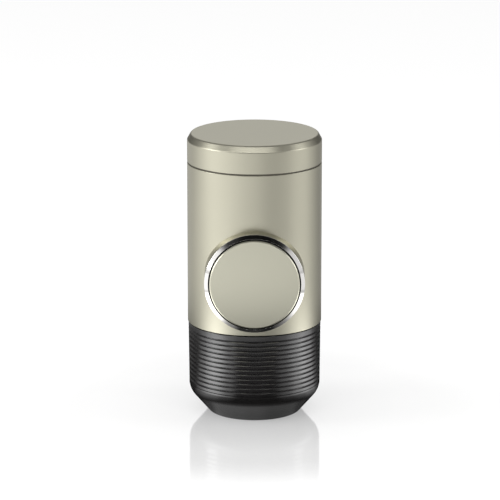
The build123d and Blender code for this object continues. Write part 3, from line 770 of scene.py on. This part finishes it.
@dataclass
class Sleeve(SubAssembly):
    """The metal sleeve with the round boss that stands out of its front.

    Its front panel is the part between two side angles, which is divided in rings round the boss.
    """

    radius: float = 31.0
    inner: float = 29.5
    bottom: float = 43.2
    top: float = 118.1
    edge: float = 0.18
    boss_radius: float = 22.9
    boss_inner: float = 22.1
    boss_front: float = 36.15
    boss_edge: float = 0.2
    side_angle: float = 1.25
    across: int = 40
    side: int = 56
    under: int = 30
    behind: int = 128
    rings: int = 22

    def build(self) -> None:
        """Builds and dresses the sleeve."""
        skin = Skin("sleeve_shell")
        turns = self._directions()
        low, high = self.bottom + self.edge, self.top - self.edge
        for radius, bore, ends in ((self.radius, self.boss_radius, (low, high)),
                                   (self.inner, self.boss_inner, (self.bottom, self.top))):
            skin.add(self._front(radius, bore, ends, turns))
            skin.add(self._back(radius, ends))
        skin.add(self._rim(self.top, -1.0, self.across))
        skin.add(self._rim(self.bottom, 1.0, self.under))
        skin.add(self._boss(turns))
        self.finish(skin.piece(sharp=28.0), Body.MACHINE, Slot.SLEEVE, "body_sleeve")

    def _directions(self) -> Array:
        """Works out the directions that lead from the boss to the points of the panel's edge.

        Returns:
            The angles round the boss, from its top.
        """
        half = self.radius * self.side_angle
        upper = math.atan2(half, self.top - PUMP_HEIGHT)
        lower = math.atan2(half, self.bottom - PUMP_HEIGHT)
        return np.concatenate([np.linspace(-upper, upper, self.across + 1)[:-1],
                               np.linspace(upper, lower, self.side + 1)[:-1],
                               np.linspace(lower, FULL_TURN - lower, self.under + 1)[:-1],
                               np.linspace(FULL_TURN - lower, FULL_TURN - upper, self.side + 1)])

    def _edge_points(self, low: float, high: float) -> Array:
        """Works out the panel's edge.

        Args:
            low: Height of its lower side.
            high: Height of its upper side.

        Returns:
            A point for each direction, as (angle round the body, height), evenly spaced from each corner
            to the next.
        """
        wide, parts = self.side_angle, []
        corners = np.array([(-wide, high), (wide, high), (wide, low), (-wide, low), (-wide, high)])
        for corner, count in enumerate((self.across, self.side, self.under, self.side)):
            share = np.arange(count)[:, None] / count
            parts.append(corners[corner] * (1 - share) + corners[corner + 1] * share)
        return np.vstack([*parts, corners[-1:]])

    def _front(self, radius: float, bore: float, ends: tuple[float, float], turns: Array) -> Array:
        """The front of one cylinder with a round opening, as rings from the opening to the panel's edge.

        On the unrolled cylinder of radius R, the opening of radius b is at the angle asin(b sin t / R)
        and the height b cos t above the pump's axis. Each ring is a mean of the opening and the edge.

        Args:
            radius: Radius of the cylinder.
            bore: Radius of the opening.
            ends: Lowest and highest height.
            turns: Angles round the opening.

        Returns:
            A grid of points.
        """
        opening = np.stack([np.arcsin(bore * np.sin(turns) / radius),
                            PUMP_HEIGHT + bore * np.cos(turns)], axis=1)
        # The first and the last ring lie close to the opening and to the edge.
        rings = 0.006 + np.linspace(0, 1, self.rings) ** 1.3 * 0.984
        share = np.concatenate([[0.0], rings, [1.0]])[:, None, None]
        flat = opening[None] * (1 - share) + self._edge_points(*ends)[None] * share
        return on_axle(Axle.BODY, radius, flat[..., 1], flat[..., 0])

    def _round_back(self) -> Array:
        """Angles from one side edge of the front panel round the back to the other."""
        return self.side_angle + (FULL_TURN - 2 * self.side_angle) * np.linspace(0, 1, self.behind + 1)

    def _back(self, radius: float, ends: tuple[float, float]) -> Array:
        """The rest of one cylinder, round its back, at even steps down from the highest height."""
        level = ends[1] + (ends[0] - ends[1]) * np.arange(self.side + 1) / self.side
        return on_axle(Axle.BODY, radius, level[:, None], self._round_back()[None, :])

    def _rim(self, level: float, inside: float, steps: int) -> Array:
        """The rounded rim at one end: a quarter arc on the outer edge, then a flat ring to the inner one.

        Args:
            level: Height of the end face.
            inside: +1 if the sleeve lies above the face, -1 if below.
            steps: Number of steps over the front panel.

        Returns:
            A grid of points.
        """
        angle = np.concatenate([np.linspace(-self.side_angle, self.side_angle, steps + 1)[:-1],
                                self._round_back()])
        turn = np.linspace(0, math.pi / 2, 6)
        radius = np.concatenate([self.radius - self.edge * (1 - np.cos(turn)), [self.inner]])
        height = np.concatenate([level + inside * self.edge * (1 - np.sin(turn)), [level]])
        return on_axle(Axle.BODY, radius[:, None], height[:, None], angle[None, :])

    def _boss(self, turns: Array) -> Array:
        """The boss as a tube from the outer cylinder forward, round its front edge and back inside.

        Round the boss of radius b, its foot on a cylinder of radius R lies sqrt(R^2 - (b sin t)^2) in
        front of the body's axis.

        Args:
            turns: Angles round the pump's axis.

        Returns:
            A grid of points.
        """
        start = np.sqrt(self.radius**2 - (self.boss_radius * np.sin(turns)) ** 2)
        stop = np.sqrt(self.inner**2 - (self.boss_inner * np.sin(turns)) ** 2)
        share = np.array([0.0, 0.02, 0.2, 0.4, 0.6, 0.8, 0.97])[:, None]
        outside = start * (1 - share) + (self.boss_front - self.boss_edge) * share
        quarter = np.linspace(0, math.pi / 2, 5)[:, None] + 0 * turns
        edge = self.boss_front - self.boss_edge * (1 - np.sin(quarter))
        edge_radius = self.boss_radius - self.boss_edge * (1 - np.cos(quarter))
        share = np.array([0.0, 0.05, 0.35, 0.7, 0.97, 1.0])[:, None]
        inside = self.boss_front * (1 - share) + stop * share
        radius = np.vstack([self.boss_radius + 0 * outside, edge_radius, self.boss_inner + 0 * inside])
        return on_axle(Axle.PUMP, radius, np.vstack([outside, edge, inside]), turns)


@dataclass
class Lid(SubAssembly):
    """The screw lid: a metal shell and the threaded plastic liner inside it."""

    radius: float = 31.0
    bottom: float = 118.8
    top: float = 131.7
    rise: float = 3.0
    run: float = 1.7
    wall: float = 1.25
    soft_edge: float = 1.1
    liner_inner: float = 27.75
    liner_inset: float = 0.5
    ceiling: float = 128.55
    vent: float = 1.6
    gap: float = 0.1
    thread_above: float = 0.6
    thread_below: float = 1.6
    pitch: float = 3.0
    depth: float = 0.7

    def build(self) -> None:
        """Builds and dresses the shell and the liner."""
        inner, foot, roof = self.radius - self.wall, self.top - self.rise, self.top - self.wall
        shell = Skin("lid_shell")
        shell.turn(Outline((
            (0.0, self.top), (self.radius - self.run, self.top, self.soft_edge),
            (self.radius, foot, self.soft_edge), (self.radius, self.bottom, 0.15),
            (inner, self.bottom, 0.1), (inner, foot - self.wall), (inner - self.run, roof),
            (0.0, roof)), closed=False, spacing=2.5), segments=256)
        self.finish(shell.piece(), Body.LID, Slot.LID, "lid_cap")

        outer, upper = inner - self.gap, roof - self.gap
        low, high = self.bottom + self.liner_inset, self.ceiling
        liner = Skin("lid_thread_liner")
        liner.turn(Outline((
            (self.vent, high), (self.liner_inner, high, 0.2), (self.liner_inner, low, 0.15),
            (outer, low, 0.15), (outer, foot - self.wall - self.gap), (outer - self.run, upper),
            (self.vent, upper)), fine_radius=self.liner_inner), segments=224, reliefs=[
                Thread(self.liner_inner, low + self.thread_above, high - self.thread_below,
                       self.pitch, self.depth, 2)])
        self.finish(liner.piece(), Body.LID, Slot.DARK, "lid_liner")


@dataclass(frozen=True)
class ThreadRing:
    """A thread with two starts, on a thin ring that is sunk into a plain wall."""

    wall: float
    low: float
    high: float
    lead_in: float
    pitch: float
    height: float = 0.3
    fade: float = 1.0
    root: float = 0.4
    proud: float = 0.02

    def piece(self, name: str) -> bpy.types.Object:
        """Writes the ring as a new mesh object.

        Args:
            name: The object's name.

        Returns:
            The object.
        """
        inner, outer = self.wall - self.root, self.wall + self.proud
        skin = Skin(name)
        skin.turn(Outline(((inner, self.low), (outer, self.low), (outer, self.high), (inner, self.high)),
                          fine_radius=outer), segments=224, reliefs=[
                              Thread(outer, self.low + self.lead_in, self.high - self.lead_in,
                                     self.pitch, self.height - self.proud, 2, self.fade)])
        return skin.piece()


@dataclass
class Tank(SubAssembly):
    """The thread on the water tank's neck. The tank itself stays as packed."""

    thread: ThreadRing = ThreadRing(27.4, 118.75, 126.9, lead_in=0.4, pitch=3.0)

    def build(self) -> None:
        """Builds and dresses the neck's thread."""
        self.finish(self.thread.piece("neck_thread"), Body.MACHINE, Slot.TANK)


@dataclass
class Piston(SubAssembly):
    """The piston's metal disc, its moulded skirt with the lock lugs, and the bright bezel round it."""

    radius: float = 20.5
    face: float = 39.75
    back: float = 37.75
    edge: float = 0.45
    crown: float = 0.5
    skirt_back: float = 13.95
    skirt_inside: float = 35.25
    skirt_front: float = 37.7
    skirt_inner: float = 19.3
    hub: float = 8.5
    hub_back: float = 29.45
    hub_bore: float = 5.05
    pocket: float = 6.55
    pocket_depth: float = 2.0
    lugs: int = 3
    lug_radii: tuple[float, float] = (17.3, 20.45)
    lug_depth: float = 2.0
    lug_angle: float = math.radians(24.0)
    bezel_inner: float = 21.15
    bezel_front: float = 38.15
    bezel_land: float = 0.05
    bezel_side: float = 0.7
    boss_radius: float = 22.9
    boss_front: float = 36.15
    gap: float = 0.1
    spigot: float = 6.0
    spigot_outer: float = 22.05

    def build(self) -> None:
        """Builds and dresses the three pieces.

        The disc's face is a shallow dome: at the radius r it lies the crown times (r / rim)^2 behind its
        middle.
        """
        rim, foot = self.radius - self.edge, self.face - self.crown
        dome = [(radius, self.face - self.crown * (radius / rim) ** 2)
                for radius in np.linspace(0, rim, 12)[:-1]]
        disc = Skin("piston_disc")
        disc.turn(Outline((
            *dome, (rim, foot, 0.2), (self.radius, foot - self.edge, 0.2), (self.radius, self.back, 0.1),
            (0.0, self.back)), closed=False, spacing=1.5), segments=224, axle=Axle.PUMP)
        self.finish(disc.piece(), Body.PISTON, Slot.PISTON, "piston_cap")

        inside, pocket = self.skirt_inside, self.skirt_inside - self.pocket_depth
        skirt = Skin("piston_skirt_moulding")
        skirt.turn(Outline((
            (0.0, self.skirt_front), (self.radius, self.skirt_front, 0.15),
            (self.radius, self.skirt_back, 0.3), (self.skirt_inner, self.skirt_back, 0.15),
            (self.skirt_inner, inside, 0.2), (self.hub, inside, 0.2), (self.hub, self.hub_back, 0.3),
            (self.hub_bore, self.hub_back, 0.1), (self.hub_bore, pocket), (self.pocket, pocket),
            (self.pocket, inside), (0.0, inside)), closed=False), segments=192, axle=Axle.PUMP)
        for lug in range(self.lugs):
            skirt.tab(self.lug_radii, (self.skirt_back, self.skirt_back + self.lug_depth),
                      -lug * FULL_TURN / self.lugs, self.lug_angle)
        self.finish(skirt.piece(), Body.PISTON, Slot.DARK, "piston_skirt")

        seat, spigot_back = self.boss_front + self.gap, self.boss_front - self.spigot
        bezel = Skin("bright_bezel")
        bezel.turn(Outline((
            (self.boss_radius, seat), (self.boss_radius, self.boss_front + self.bezel_side, 0.25),
            (self.bezel_inner + self.bezel_land, self.bezel_front, 0.02),
            (self.bezel_inner, self.bezel_front - self.bezel_land), (self.bezel_inner, spigot_back),
            (self.spigot_outer, spigot_back), (self.spigot_outer, seat)), edge=0.05), segments=256,
            axle=Axle.PUMP)
        self.finish(bezel.piece(), Body.MACHINE, Slot.BEZEL, "piston_bezel")


@dataclass(frozen=True)
class Taper:
    """The outside of the cup's lower end: a flat foot, and a flank up to the belly above it."""

    foot: float = 21.0
    belly: float = 30.33
    height: float = 10.79
    rounding: float = 8.5

    def inside(self, inset: float, radius: float) -> tuple[float, float]:
        """Moves the foot and the flank inwards.

        With the flank at the angle s to the floor and the inset i, the foot's corner is at the radius
        foot + (i cos s - i) / sin s, and the flank meets a wall of radius r at the height
        ((r - foot) sin s + i) / cos s.

        Args:
            inset: How far they move.
            radius: Radius of the wall that the moved flank runs up to.

        Returns:
            Radius of the foot's corner and height of the belly's.
        """
        slope = math.atan2(self.height, self.belly - self.foot)
        foot = self.foot + (inset * math.cos(slope) - inset) / math.sin(slope)
        return foot, ((radius - self.foot) * math.sin(slope) + inset) / math.cos(slope)


@dataclass
class Grip(SubAssembly):
    """The ribbed outer cup: a conical foot, a rounded belly and bands of soft ribs up to its edge."""

    taper: Taper = Taper()
    foot_round: float = 1.8
    top_radius: float = 30.7
    top: float = 42.8
    inner: float = 28.95
    wall: float = 1.75
    pitch: float = 2.19
    count: int = 13
    half_width: float = 0.475
    depth: float = 0.5
    lip: float = 0.16
    first_drop: float = 2.85

    def build(self) -> None:
        """Builds and dresses the grip."""
        skin = Skin("ribbed_grip")
        skin.turn(Outline(self._corners(), closed=False, edge=0.06), segments=192)
        self.finish(skin.piece(sharp=60.0), Body.CUP, Slot.GRIP, "cup_grip")

    def _corners(self) -> list[tuple[float, ...]]:
        """Works out the section, from the middle of the foot outside up to the edge and down inside.

        The grooves are notches of three corners, from the lowest to the highest, in a wall that widens
        evenly from the belly to the edge.

        Returns:
            The corners.
        """
        taper = self.taper
        corners = [(0.0, 0.0), (taper.foot, 0.0, self.foot_round),
                   (taper.belly, taper.height, taper.rounding)]
        for groove in reversed(range(self.count)):
            level = self.top - self.first_drop - groove * self.pitch
            wall = taper.belly + (self.top_radius - taper.belly) * (level - taper.height) / (
                self.top - taper.height)
            corners += [(wall, level - self.half_width, self.lip), (wall - self.depth, level, 0.08),
                        (wall, level + self.half_width, self.lip)]
        foot, belly = taper.inside(self.wall, self.inner)
        return corners + [(self.top_radius, self.top, 0.3), (self.inner, self.top, 0.15),
                          (self.inner, belly, taper.rounding - self.wall), (foot, self.wall, 0.9),
                          (0.0, self.wall)]


@dataclass
class Cup(SubAssembly):
    """The inner cup with the threaded collar that goes up into the sleeve."""

    taper: Taper = Taper()
    grip_wall: float = 1.75
    gap: float = 0.1
    wall: float = 1.6
    outer: float = 28.85
    inner: float = 27.25
    top: float = 47.0
    groove_low: float = 44.3
    groove_high: float = 45.5
    groove_depth: float = 0.65
    thread_low: float = 41.8
    thread_below: float = 0.7
    pitch: float = 2.6
    thread_depth: float = 0.55
    fade: float = 0.8

    def build(self) -> None:
        """Builds and dresses the cup."""
        under = self.grip_wall + self.gap
        floor = under + self.wall
        foot, belly = self.taper.inside(under, self.outer)
        inner_foot, inner_belly = self.taper.inside(floor, self.inner)
        rounding = self.taper.rounding - self.grip_wall
        groove, groove_low, groove_high = self.outer - self.groove_depth, self.groove_low, self.groove_high
        skin = Skin("threaded_cup")
        skin.turn(Outline((
            (0.0, under), (foot, under, 0.9), (self.outer, belly, rounding),
            (self.outer, groove_low, 0.05), (groove, groove_low, 0.05),
            (groove, groove_high, 0.05), (self.outer, groove_high, 0.05), (self.outer, self.top, 0.15),
            (self.inner, self.top, 0.2), (self.inner, inner_belly, rounding - self.wall),
            (inner_foot, floor, 1.8), (0.0, floor)), closed=False, fine_radius=self.inner,
            edge=0.08), segments=224, reliefs=[
                Thread(self.inner, self.thread_low, self.top - self.thread_below, self.pitch,
                       self.thread_depth, 2, self.fade)])
        self.finish(skin.piece(), Body.CUP, Slot.CUP, "cup")


@dataclass
class BrewGroup(SubAssembly):
    """The threads of the brew head and the turned capsule holder under it."""

    head: ThreadRing = ThreadRing(26.9, 42.2, 47.5, lead_in=0.3, pitch=2.6, fade=0.7)
    rim_bore: float = 18.75
    holder: float = 20.15
    bottom: float = 12.55
    rim_depth: float = 1.4
    step: float = 29.75
    neck: float = 16.8
    top: float = 41.25
    end_bore: float = 12.4
    mouth_bore: float = 15.3
    lead_in: float = 1.0
    pitch: float = 3.0
    thread_height: float = 0.3

    def build(self) -> None:
        """Builds and dresses the thread ring and the holder."""
        self.finish(self.head.piece("brew_head_thread"), Body.MACHINE, Slot.DARK)

        rim = self.bottom + self.rim_depth
        holder = Skin("turned_capsule_holder")
        holder.turn(Outline((
            (self.rim_bore, self.bottom, 0.1), (self.holder, self.bottom, 0.25),
            (self.holder, self.step, 0.2), (self.neck, self.step, 0.1), (self.neck, self.top, 0.2),
            (self.end_bore, self.top, 0.1), (self.mouth_bore, rim, 0.15), (self.rim_bore, rim)),
            fine_radius=self.holder, edge=0.06), segments=192, reliefs=[
                Thread(self.holder, self.bottom + self.lead_in, self.step - self.lead_in, self.pitch,
                       self.thread_height)])
        self.finish(holder.piece(), Body.MACHINE, Slot.HOLDER, "capsule_holder")


@dataclass
class OutletHead(SubAssembly):
    """The fluted outlet head that screws onto the capsule holder and ends in the spout."""

    radius: float = 22.0
    bore: float = 20.5
    plate_bore: float = 19.0
    top: float = 40.95
    bottom: float = 7.95
    chamfer: float = 3.0
    spout: float = 5.0
    spout_hole: float = 2.6
    spout_tip: float = 4.95
    floor: float = 10.35
    ledge: float = 11.45
    flute_low: float = 13.35
    flutes: int = 16
    flute_tool: float = 1.3
    flute_depth: float = 0.6
    thread_low: float = 13.6
    thread_below: float = 0.8
    pitch: float = 3.0
    thread_depth: float = 0.45

    def build(self) -> None:
        """Builds and dresses the outlet head, with the flutes outside and the thread inside."""
        skin = Skin("fluted_outlet_head")
        skin.turn(Outline((
            (self.spout_hole, self.spout_tip, 0.2), (self.spout, self.spout_tip, 0.4),
            (self.spout, self.bottom, 0.6), (self.radius - self.chamfer, self.bottom, 0.8),
            (self.radius, self.bottom + self.chamfer, 0.6), (self.radius, self.flute_low),
            (self.radius, self.flute_low + 0.1), (self.radius, self.top, 0.3), (self.bore, self.top, 0.15),
            (self.bore, self.ledge), (self.plate_bore, self.ledge), (self.plate_bore, self.floor),
            (self.spout_hole, self.floor)), fine_radius=self.bore, edge=0.06), segments=448, reliefs=[
                Flutes(self.radius, self.flutes, self.flute_tool, self.flute_depth, self.flute_low),
                Thread(self.bore, self.thread_low, self.top - self.thread_below, self.pitch,
                       self.thread_depth)])
        self.finish(skin.piece(), Body.OUTLET, Slot.DARK, "outlet_head")


@dataclass(frozen=True)
class Coil:
    """A round wire wound right-handed about an axis, with flat cut ends."""

    base: tuple[float, float, float]
    axle: Axle
    radius: float
    length: float
    turns: int
    wire: float
    steps: int = 48
    sides: int = 14

    def grid(self) -> Array:
        """Works out the wire's surface, closed at both ends.

        With u along the axis and p and q square to it, the wire's middle is at
        base + u length t + radius (p cos a + q sin a), where a is 2 pi turns t. Round it, at the angle b,
        a point stands off by wire (o cos b + n sin b), where o is p cos a + q sin a and n is the wire's
        own direction crossed with o.

        Returns:
            A grid of points, with rows along the wire.
        """
        along, first, second = np.array(((0, 0, 1), (1, 0, 0), (0, 1, 0)) if self.axle is Axle.BODY
                                        else ((0, -1, 0), (0, 0, 1), (-1, 0, 0)), float)
        share = np.linspace(0, 1, self.turns * self.steps + 1)[:, None]
        angle = FULL_TURN * self.turns * share
        outward = first * np.cos(angle) + second * np.sin(angle)
        onward = second * np.cos(angle) - first * np.sin(angle)
        middle = np.array(self.base) + along * self.length * share + self.radius * outward
        run = FULL_TURN * self.turns * self.radius * onward + self.length * along
        across = np.cross(run / np.linalg.norm(run, axis=1, keepdims=True), outward)
        turn = np.linspace(0, FULL_TURN, self.sides + 1)[None, :, None]
        round_wire = outward[:, None] * np.cos(turn) + across[:, None] * np.sin(turn)
        caps = np.repeat(middle[[0, -1], None], self.sides + 1, axis=1)
        return np.concatenate([caps[:1], middle[:, None] + self.wire * round_wire, caps[1:]])

    def piece(self, name: str) -> bpy.types.Object:
        """Writes the wire as a new mesh object."""
        return Skin(name, [self.grid()]).piece(sharp=50.0)


@dataclass
class Springs(SubAssembly):
    """The piston's return spring, which stretches with the rod, and the springs under the valve balls."""

    return_radius: float = 10.0
    return_wire: float = 0.6
    return_start: float = 13.4
    return_length: float = 21.2
    return_turns: int = 4
    return_steps: int = 72
    valve_offset: float = 19.952
    valve_radius: float = 1.7
    valve_wire: float = 0.25
    valve_turns: int = 3
    valve_spans: tuple[tuple[str, float, float], ...] = (("inlet", 84.3, 87.598), ("outlet", 48.05, 51.498))
    ball_travel: float = 1.2

    def build(self) -> None:
        """Builds and dresses the three springs.

        The return spring's back end stays with the machine and its front end goes with the rod. The valve
        springs stay with the machine.
        """
        back, front = self.return_start, self.return_start + self.return_length
        piece = Coil((0.0, -back, PUMP_HEIGHT), Axle.PUMP, self.return_radius, self.return_length,
                     self.return_turns, self.return_wire, self.return_steps).piece("piston_return_spring")
        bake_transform(piece, Body.MACHINE.value, Body.ROD.value,
                 start=(0.0, -back * METRES, PUMP_HEIGHT * METRES),
                 end=(0.0, -front * METRES, PUMP_HEIGHT * METRES))
        self.finish(piece, Body.MACHINE, Slot.STEEL, "piston_spring")

        for valve, low, high in self.valve_spans:
            piece = Coil((0.0, self.valve_offset, low), Axle.BODY, self.valve_radius, high - low,
                         self.valve_turns, self.valve_wire).piece(f"{valve}_valve_spring")
            self.finish(piece, Body.MACHINE, Slot.STEEL, f"{valve}_spring")
            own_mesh(piece)


# ------------------------------------------------------------------ studio
@dataclass(frozen=True)
class Lamp:
    """A soft rectangular lamp, aimed at the middle of the machine."""

    name: str
    azimuth: float
    elevation: float
    distance: float
    width: float
    height: float
    radiance: float

    def place(self, aim: Array) -> None:
        """Adds the lamp.

        Azimuth is measured from the front, towards +X, and elevation from the floor. The power is the
        radiance times pi and the lamp's area.

        Args:
            aim: The point it faces, in metres.
        """
        turn, rise = math.radians(self.azimuth), math.radians(self.elevation)
        away = np.array([math.sin(turn) * math.cos(rise), -math.cos(turn) * math.cos(rise), math.sin(rise)])
        light = bpy.data.lights.new(self.name, "AREA")
        light.shape = "RECTANGLE"
        light.size, light.size_y = self.width, self.height
        light.energy = self.radiance * math.pi * self.width * self.height
        lamp = linked(self.name, light)
        lamp.location = aim + away * self.distance
        lamp.rotation_euler = (math.pi / 2 - rise, 0.0, turn)


@dataclass
class Studio:
    """Pale floor, white surroundings, soft lamps and the camera.

    The curves shape what reflections see. around, wall, behind, under_foot and beside run over the turn
    round the machine. overhead runs over half a turn, from the front up and over to the back. mirrored,
    in_front, past_foot and strip run over the distance from the machine's axis, in metres.
    """

    aim: tuple[float, float, float] = (0.0, 0.0, 0.065)
    camera_pitch: float = 14.4
    camera_distance: float = 1.6246
    focal_pixels: float = 3504.3
    picture: float = 500.0
    sensor: float = 36.0
    aim_pixel: tuple[float, float] = (254.52, 273.16)
    floor_half: float = 3.0
    floor_colour: Colour = (0.85, 0.85, 0.85)
    floor_glow: float = 0.53
    floor_gloss: float = 0.06
    ambient: float = 0.45
    lamps: tuple[Lamp, ...] = (
        Lamp("left_softbox", -80.0, 18.0, 1.3, 0.5, 0.6, 4.2),
        Lamp("right_softbox", 84.0, 18.0, 1.3, 0.4, 0.6, 2.8),
        Lamp("front_softbox", -2.0, 43.0, 1.5, 2.0, 0.3, 2.9),
    )
    around: Stops = (
        (0.0, 0.84), (0.06, 0.84), (0.1, 0.5), (0.15, 0.5), (0.208, 0.74), (0.292, 1.0), (0.375, 1.0),
        (0.444, 0.95), (0.5, 0.86), (0.569, 0.6), (0.639, 0.56), (0.708, 0.74), (0.764, 0.76),
        (0.833, 0.42), (0.9, 0.22), (0.94, 0.8), (1.0, 0.84))
    overhead: Stops = (
        (0.0, 0.75), (0.06, 1.0), (0.27, 1.0), (0.31, 0.02), (0.36, 0.02), (0.45, 0.25), (0.52, 0.75),
        (0.9, 1.0), (0.93, 0.85), (0.97, 0.1), (1.0, 0.04))
    wall: Stops = (
        (0.03, 1.0), (0.07, 0.35), (0.2, 0.35), (0.27, 1.0), (0.36, 1.0), (0.43, 0.15), (0.6, 0.15),
        (0.68, 1.0), (0.8, 1.0), (0.86, 0.35), (0.93, 0.35), (0.97, 1.0))
    mirrored: Stops = ((0.028, 0.4), (0.08, 0.3), (0.14, 0.0))
    floor_gain: float = 1.2
    in_front: Stops = (
        (0.0, 0.28), (0.022, 0.3), (0.027, 0.4), (0.033, 0.04), (0.04, 0.02), (0.065, 0.05),
        (0.145, 0.05), (0.18, 0.55), (0.22, 1.0))
    behind: Stops = ((0.03, 0.12), (0.1, 1.0), (0.9, 1.0), (0.97, 0.12))
    past_foot: Stops = ((0.033, 0.0), (0.045, 1.0))
    under_foot: Stops = (
        (0.24, 0.08), (0.31, 0.28), (0.36, 0.88), (0.45, 1.0), (0.55, 1.0), (0.64, 0.9), (0.69, 0.3),
        (0.76, 0.08))
    strip_gain: float = 3.2
    beside: Stops = (
        (0.2, 0.0), (0.25, 0.3), (0.285, 0.74), (0.31, 1.05), (0.34, 1.0), (0.39, 0.33), (0.44, 0.0),
        (0.57, 0.0), (0.63, 0.2), (0.69, 0.62), (0.73, 0.94), (0.775, 0.56), (0.82, 0.1), (0.86, 0.0))
    strip: Stops = (
        (0.03, 0.01), (0.05, 0.25), (0.08, 0.9), (0.1, 1.0), (0.15, 1.0), (0.19, 0.2), (0.26, 0.27),
        (0.34, 0.215), (0.45, 0.0))

    def build(self) -> None:
        """Sets the stage."""
        bpy.context.scene.view_settings.view_transform = "Standard"
        for lamp in self.lamps:
            lamp.place(np.array(self.aim))
        self._camera()
        self._floor()
        self._world()

    def _camera(self) -> None:
        """Adds the camera: level turn 0, pitched down, with the shift that frames the machine."""
        data = bpy.data.cameras.new("camera")
        data.sensor_width = self.sensor
        data.lens = self.focal_pixels * self.sensor / self.picture
        half = self.picture / 2
        data.shift_x = (half - self.aim_pixel[0]) / self.picture
        data.shift_y = (self.aim_pixel[1] - half) / self.picture
        data.clip_start, data.clip_end = 0.05, 20.0
        camera = linked("camera", data)
        pitch = math.radians(self.camera_pitch)
        back = np.array([0.0, -math.cos(pitch), math.sin(pitch)])
        camera.location = np.array(self.aim) + back * self.camera_distance
        camera.rotation_euler = (math.pi / 2 - pitch, 0.0, 0.0)
        bpy.context.scene.camera = camera

    def _floor(self) -> None:
        """Adds the floor.

        It is white, with a gloss near the foot that mirrors it. Reflections see a pool of light on it
        instead: the brighter of a plain floor, which is dim near the foot and behind the machine, and
        of two strips beside it.
        """
        half = self.floor_half
        mesh = bpy.data.meshes.new("floor")
        mesh.from_pydata([(-half, -half, 0), (half, -half, 0), (half, half, 0), (-half, half, 0)], [],
                         [(0, 1, 2, 3)])
        linked("floor", mesh)
        material, recipe = new_recipe("floor_white")
        seen, glossy = recipe.rays()
        spot = recipe.node("TexCoord", output="Object")
        reach = recipe.node("VectorMath", {0: spot}, "Value", operation="LENGTH")
        turn = self._turn(recipe, spot)
        matt = recipe.node("BsdfDiffuse", {"Color": self.floor_colour})
        glow = recipe.node("Emission", {"Color": WHITE, "Strength": seen * self.floor_glow})
        lit = recipe.node("AddShader", {0: matt, 1: glow})
        mirror = recipe.node("BsdfGlossy", {"Color": WHITE, "Roughness": self.floor_gloss})
        direct = recipe.node("MixShader", {0: recipe.ramp(reach, self.mirrored), 1: lit, 2: mirror})
        plain_floor = (recipe.ramp(turn, self.around) * recipe.ramp(reach, self.in_front)
                       * recipe.ramp(turn, self.behind) * self.floor_gain
                       * recipe.ramp(turn, self.under_foot).larger(recipe.ramp(reach, self.past_foot)))
        strips = recipe.ramp(turn, self.beside) * recipe.ramp(reach, self.strip) * self.strip_gain
        pool = recipe.node("Emission", {"Color": WHITE, "Strength": plain_floor.larger(strips)})
        recipe.end(recipe.node("MixShader", {0: glossy, 1: direct, 2: pool}))
        mesh.materials.append(material)

    @staticmethod
    def _turn(recipe: Recipe, direction: Wire) -> Wire:
        """The angle of a direction round the machine, in turns.

        It runs from 0 behind, over 0.25 on the left and 0.5 in front, to 1 behind again.

        Args:
            recipe: The tree being written.
            direction: The direction.

        Returns:
            The angle.
        """
        across, depth, _ = recipe.split(direction)
        return across.angle_over(0.0 - depth) * (1 / FULL_TURN) + 0.5

    def _world(self) -> None:
        """White surroundings for what is seen directly or through glass, and a plain level elsewhere.

        Reflections see the room: bright on the left, on the right and behind, dim in front, and with a
        dark band across its ceiling.
        """
        world = bpy.data.worlds.new("surroundings")
        world.use_nodes = True
        bpy.context.scene.world = world
        recipe = Recipe(world.node_tree)
        seen, glossy = recipe.rays()
        direction = recipe.node("TexCoord", output="Generated")
        _, depth, height = recipe.split(direction)
        rise = height.angle_over(0.0 - depth)
        turn = self._turn(recipe, direction)
        room = (recipe.ramp(turn, self.around) * recipe.ramp(turn, self.wall)
                * recipe.ramp(rise * (2 / FULL_TURN), self.overhead))
        strength = seen + (1.0 - seen) * (glossy * room + (1.0 - glossy) * self.ambient)
        recipe.end(recipe.node("Background", {"Color": WHITE, "Strength": strength}), "World")


CHAMPAGNE: Colour = (0.58, 0.561, 0.452)

FINISHES: Mapping[Slot, Finish] = {
    Slot.SLEEVE: SatinMetal(CHAMPAGNE),
    Slot.LID: SatinMetal(CHAMPAGNE, roughness=0.37),
    Slot.PISTON: SatinMetal((0.722, 0.708, 0.578)),
    Slot.BEZEL: PolishedMetal((0.91, 0.895, 0.87)),
    Slot.GRIP: MouldedPlastic((0.01, 0.0092, 0.009), roughness=0.2, depth=1.2e-6, specular=1.0,
                              index=1.6),
    Slot.CUP: MouldedPlastic((0.02, 0.02, 0.02), roughness=0.34),
    Slot.DARK: MouldedPlastic((0.024, 0.024, 0.025), roughness=0.45),
    Slot.TANK: MouldedPlastic((0.1, 0.092, 0.068), roughness=0.3, depth=2e-6),
    Slot.HOLDER: TurnedMetal((0.6, 0.6, 0.61), roughness=0.28, stretch=(1.0, 1.0, 12.0)),
    Slot.BRASS: TurnedMetal((0.58, 0.42, 0.16), roughness=0.26, stretch=(1.0, 12.0, 1.0)),
    Slot.STEEL: TurnedMetal((0.5, 0.5, 0.51), roughness=0.24, stretch=(1.0, 12.0, 1.0)),
    Slot.RUBBER: Rubber((0.03, 0.03, 0.032)),
}


def main() -> None:
    """Loads the frame, builds and dresses every sub-assembly and sets the studio."""
    logging.basicConfig(level=logging.INFO, format="%(name)s: %(message)s")
    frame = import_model()
    paints = Paintbox(FINISHES)
    paints.dress_nodes(frame)
    for assembly in (Sleeve, Lid, Tank, Piston, Grip, Cup, BrewGroup, OutletHead, Springs):
        assembly(paints).build()
    Studio().build()


if __name__ == "__main__":
    main()
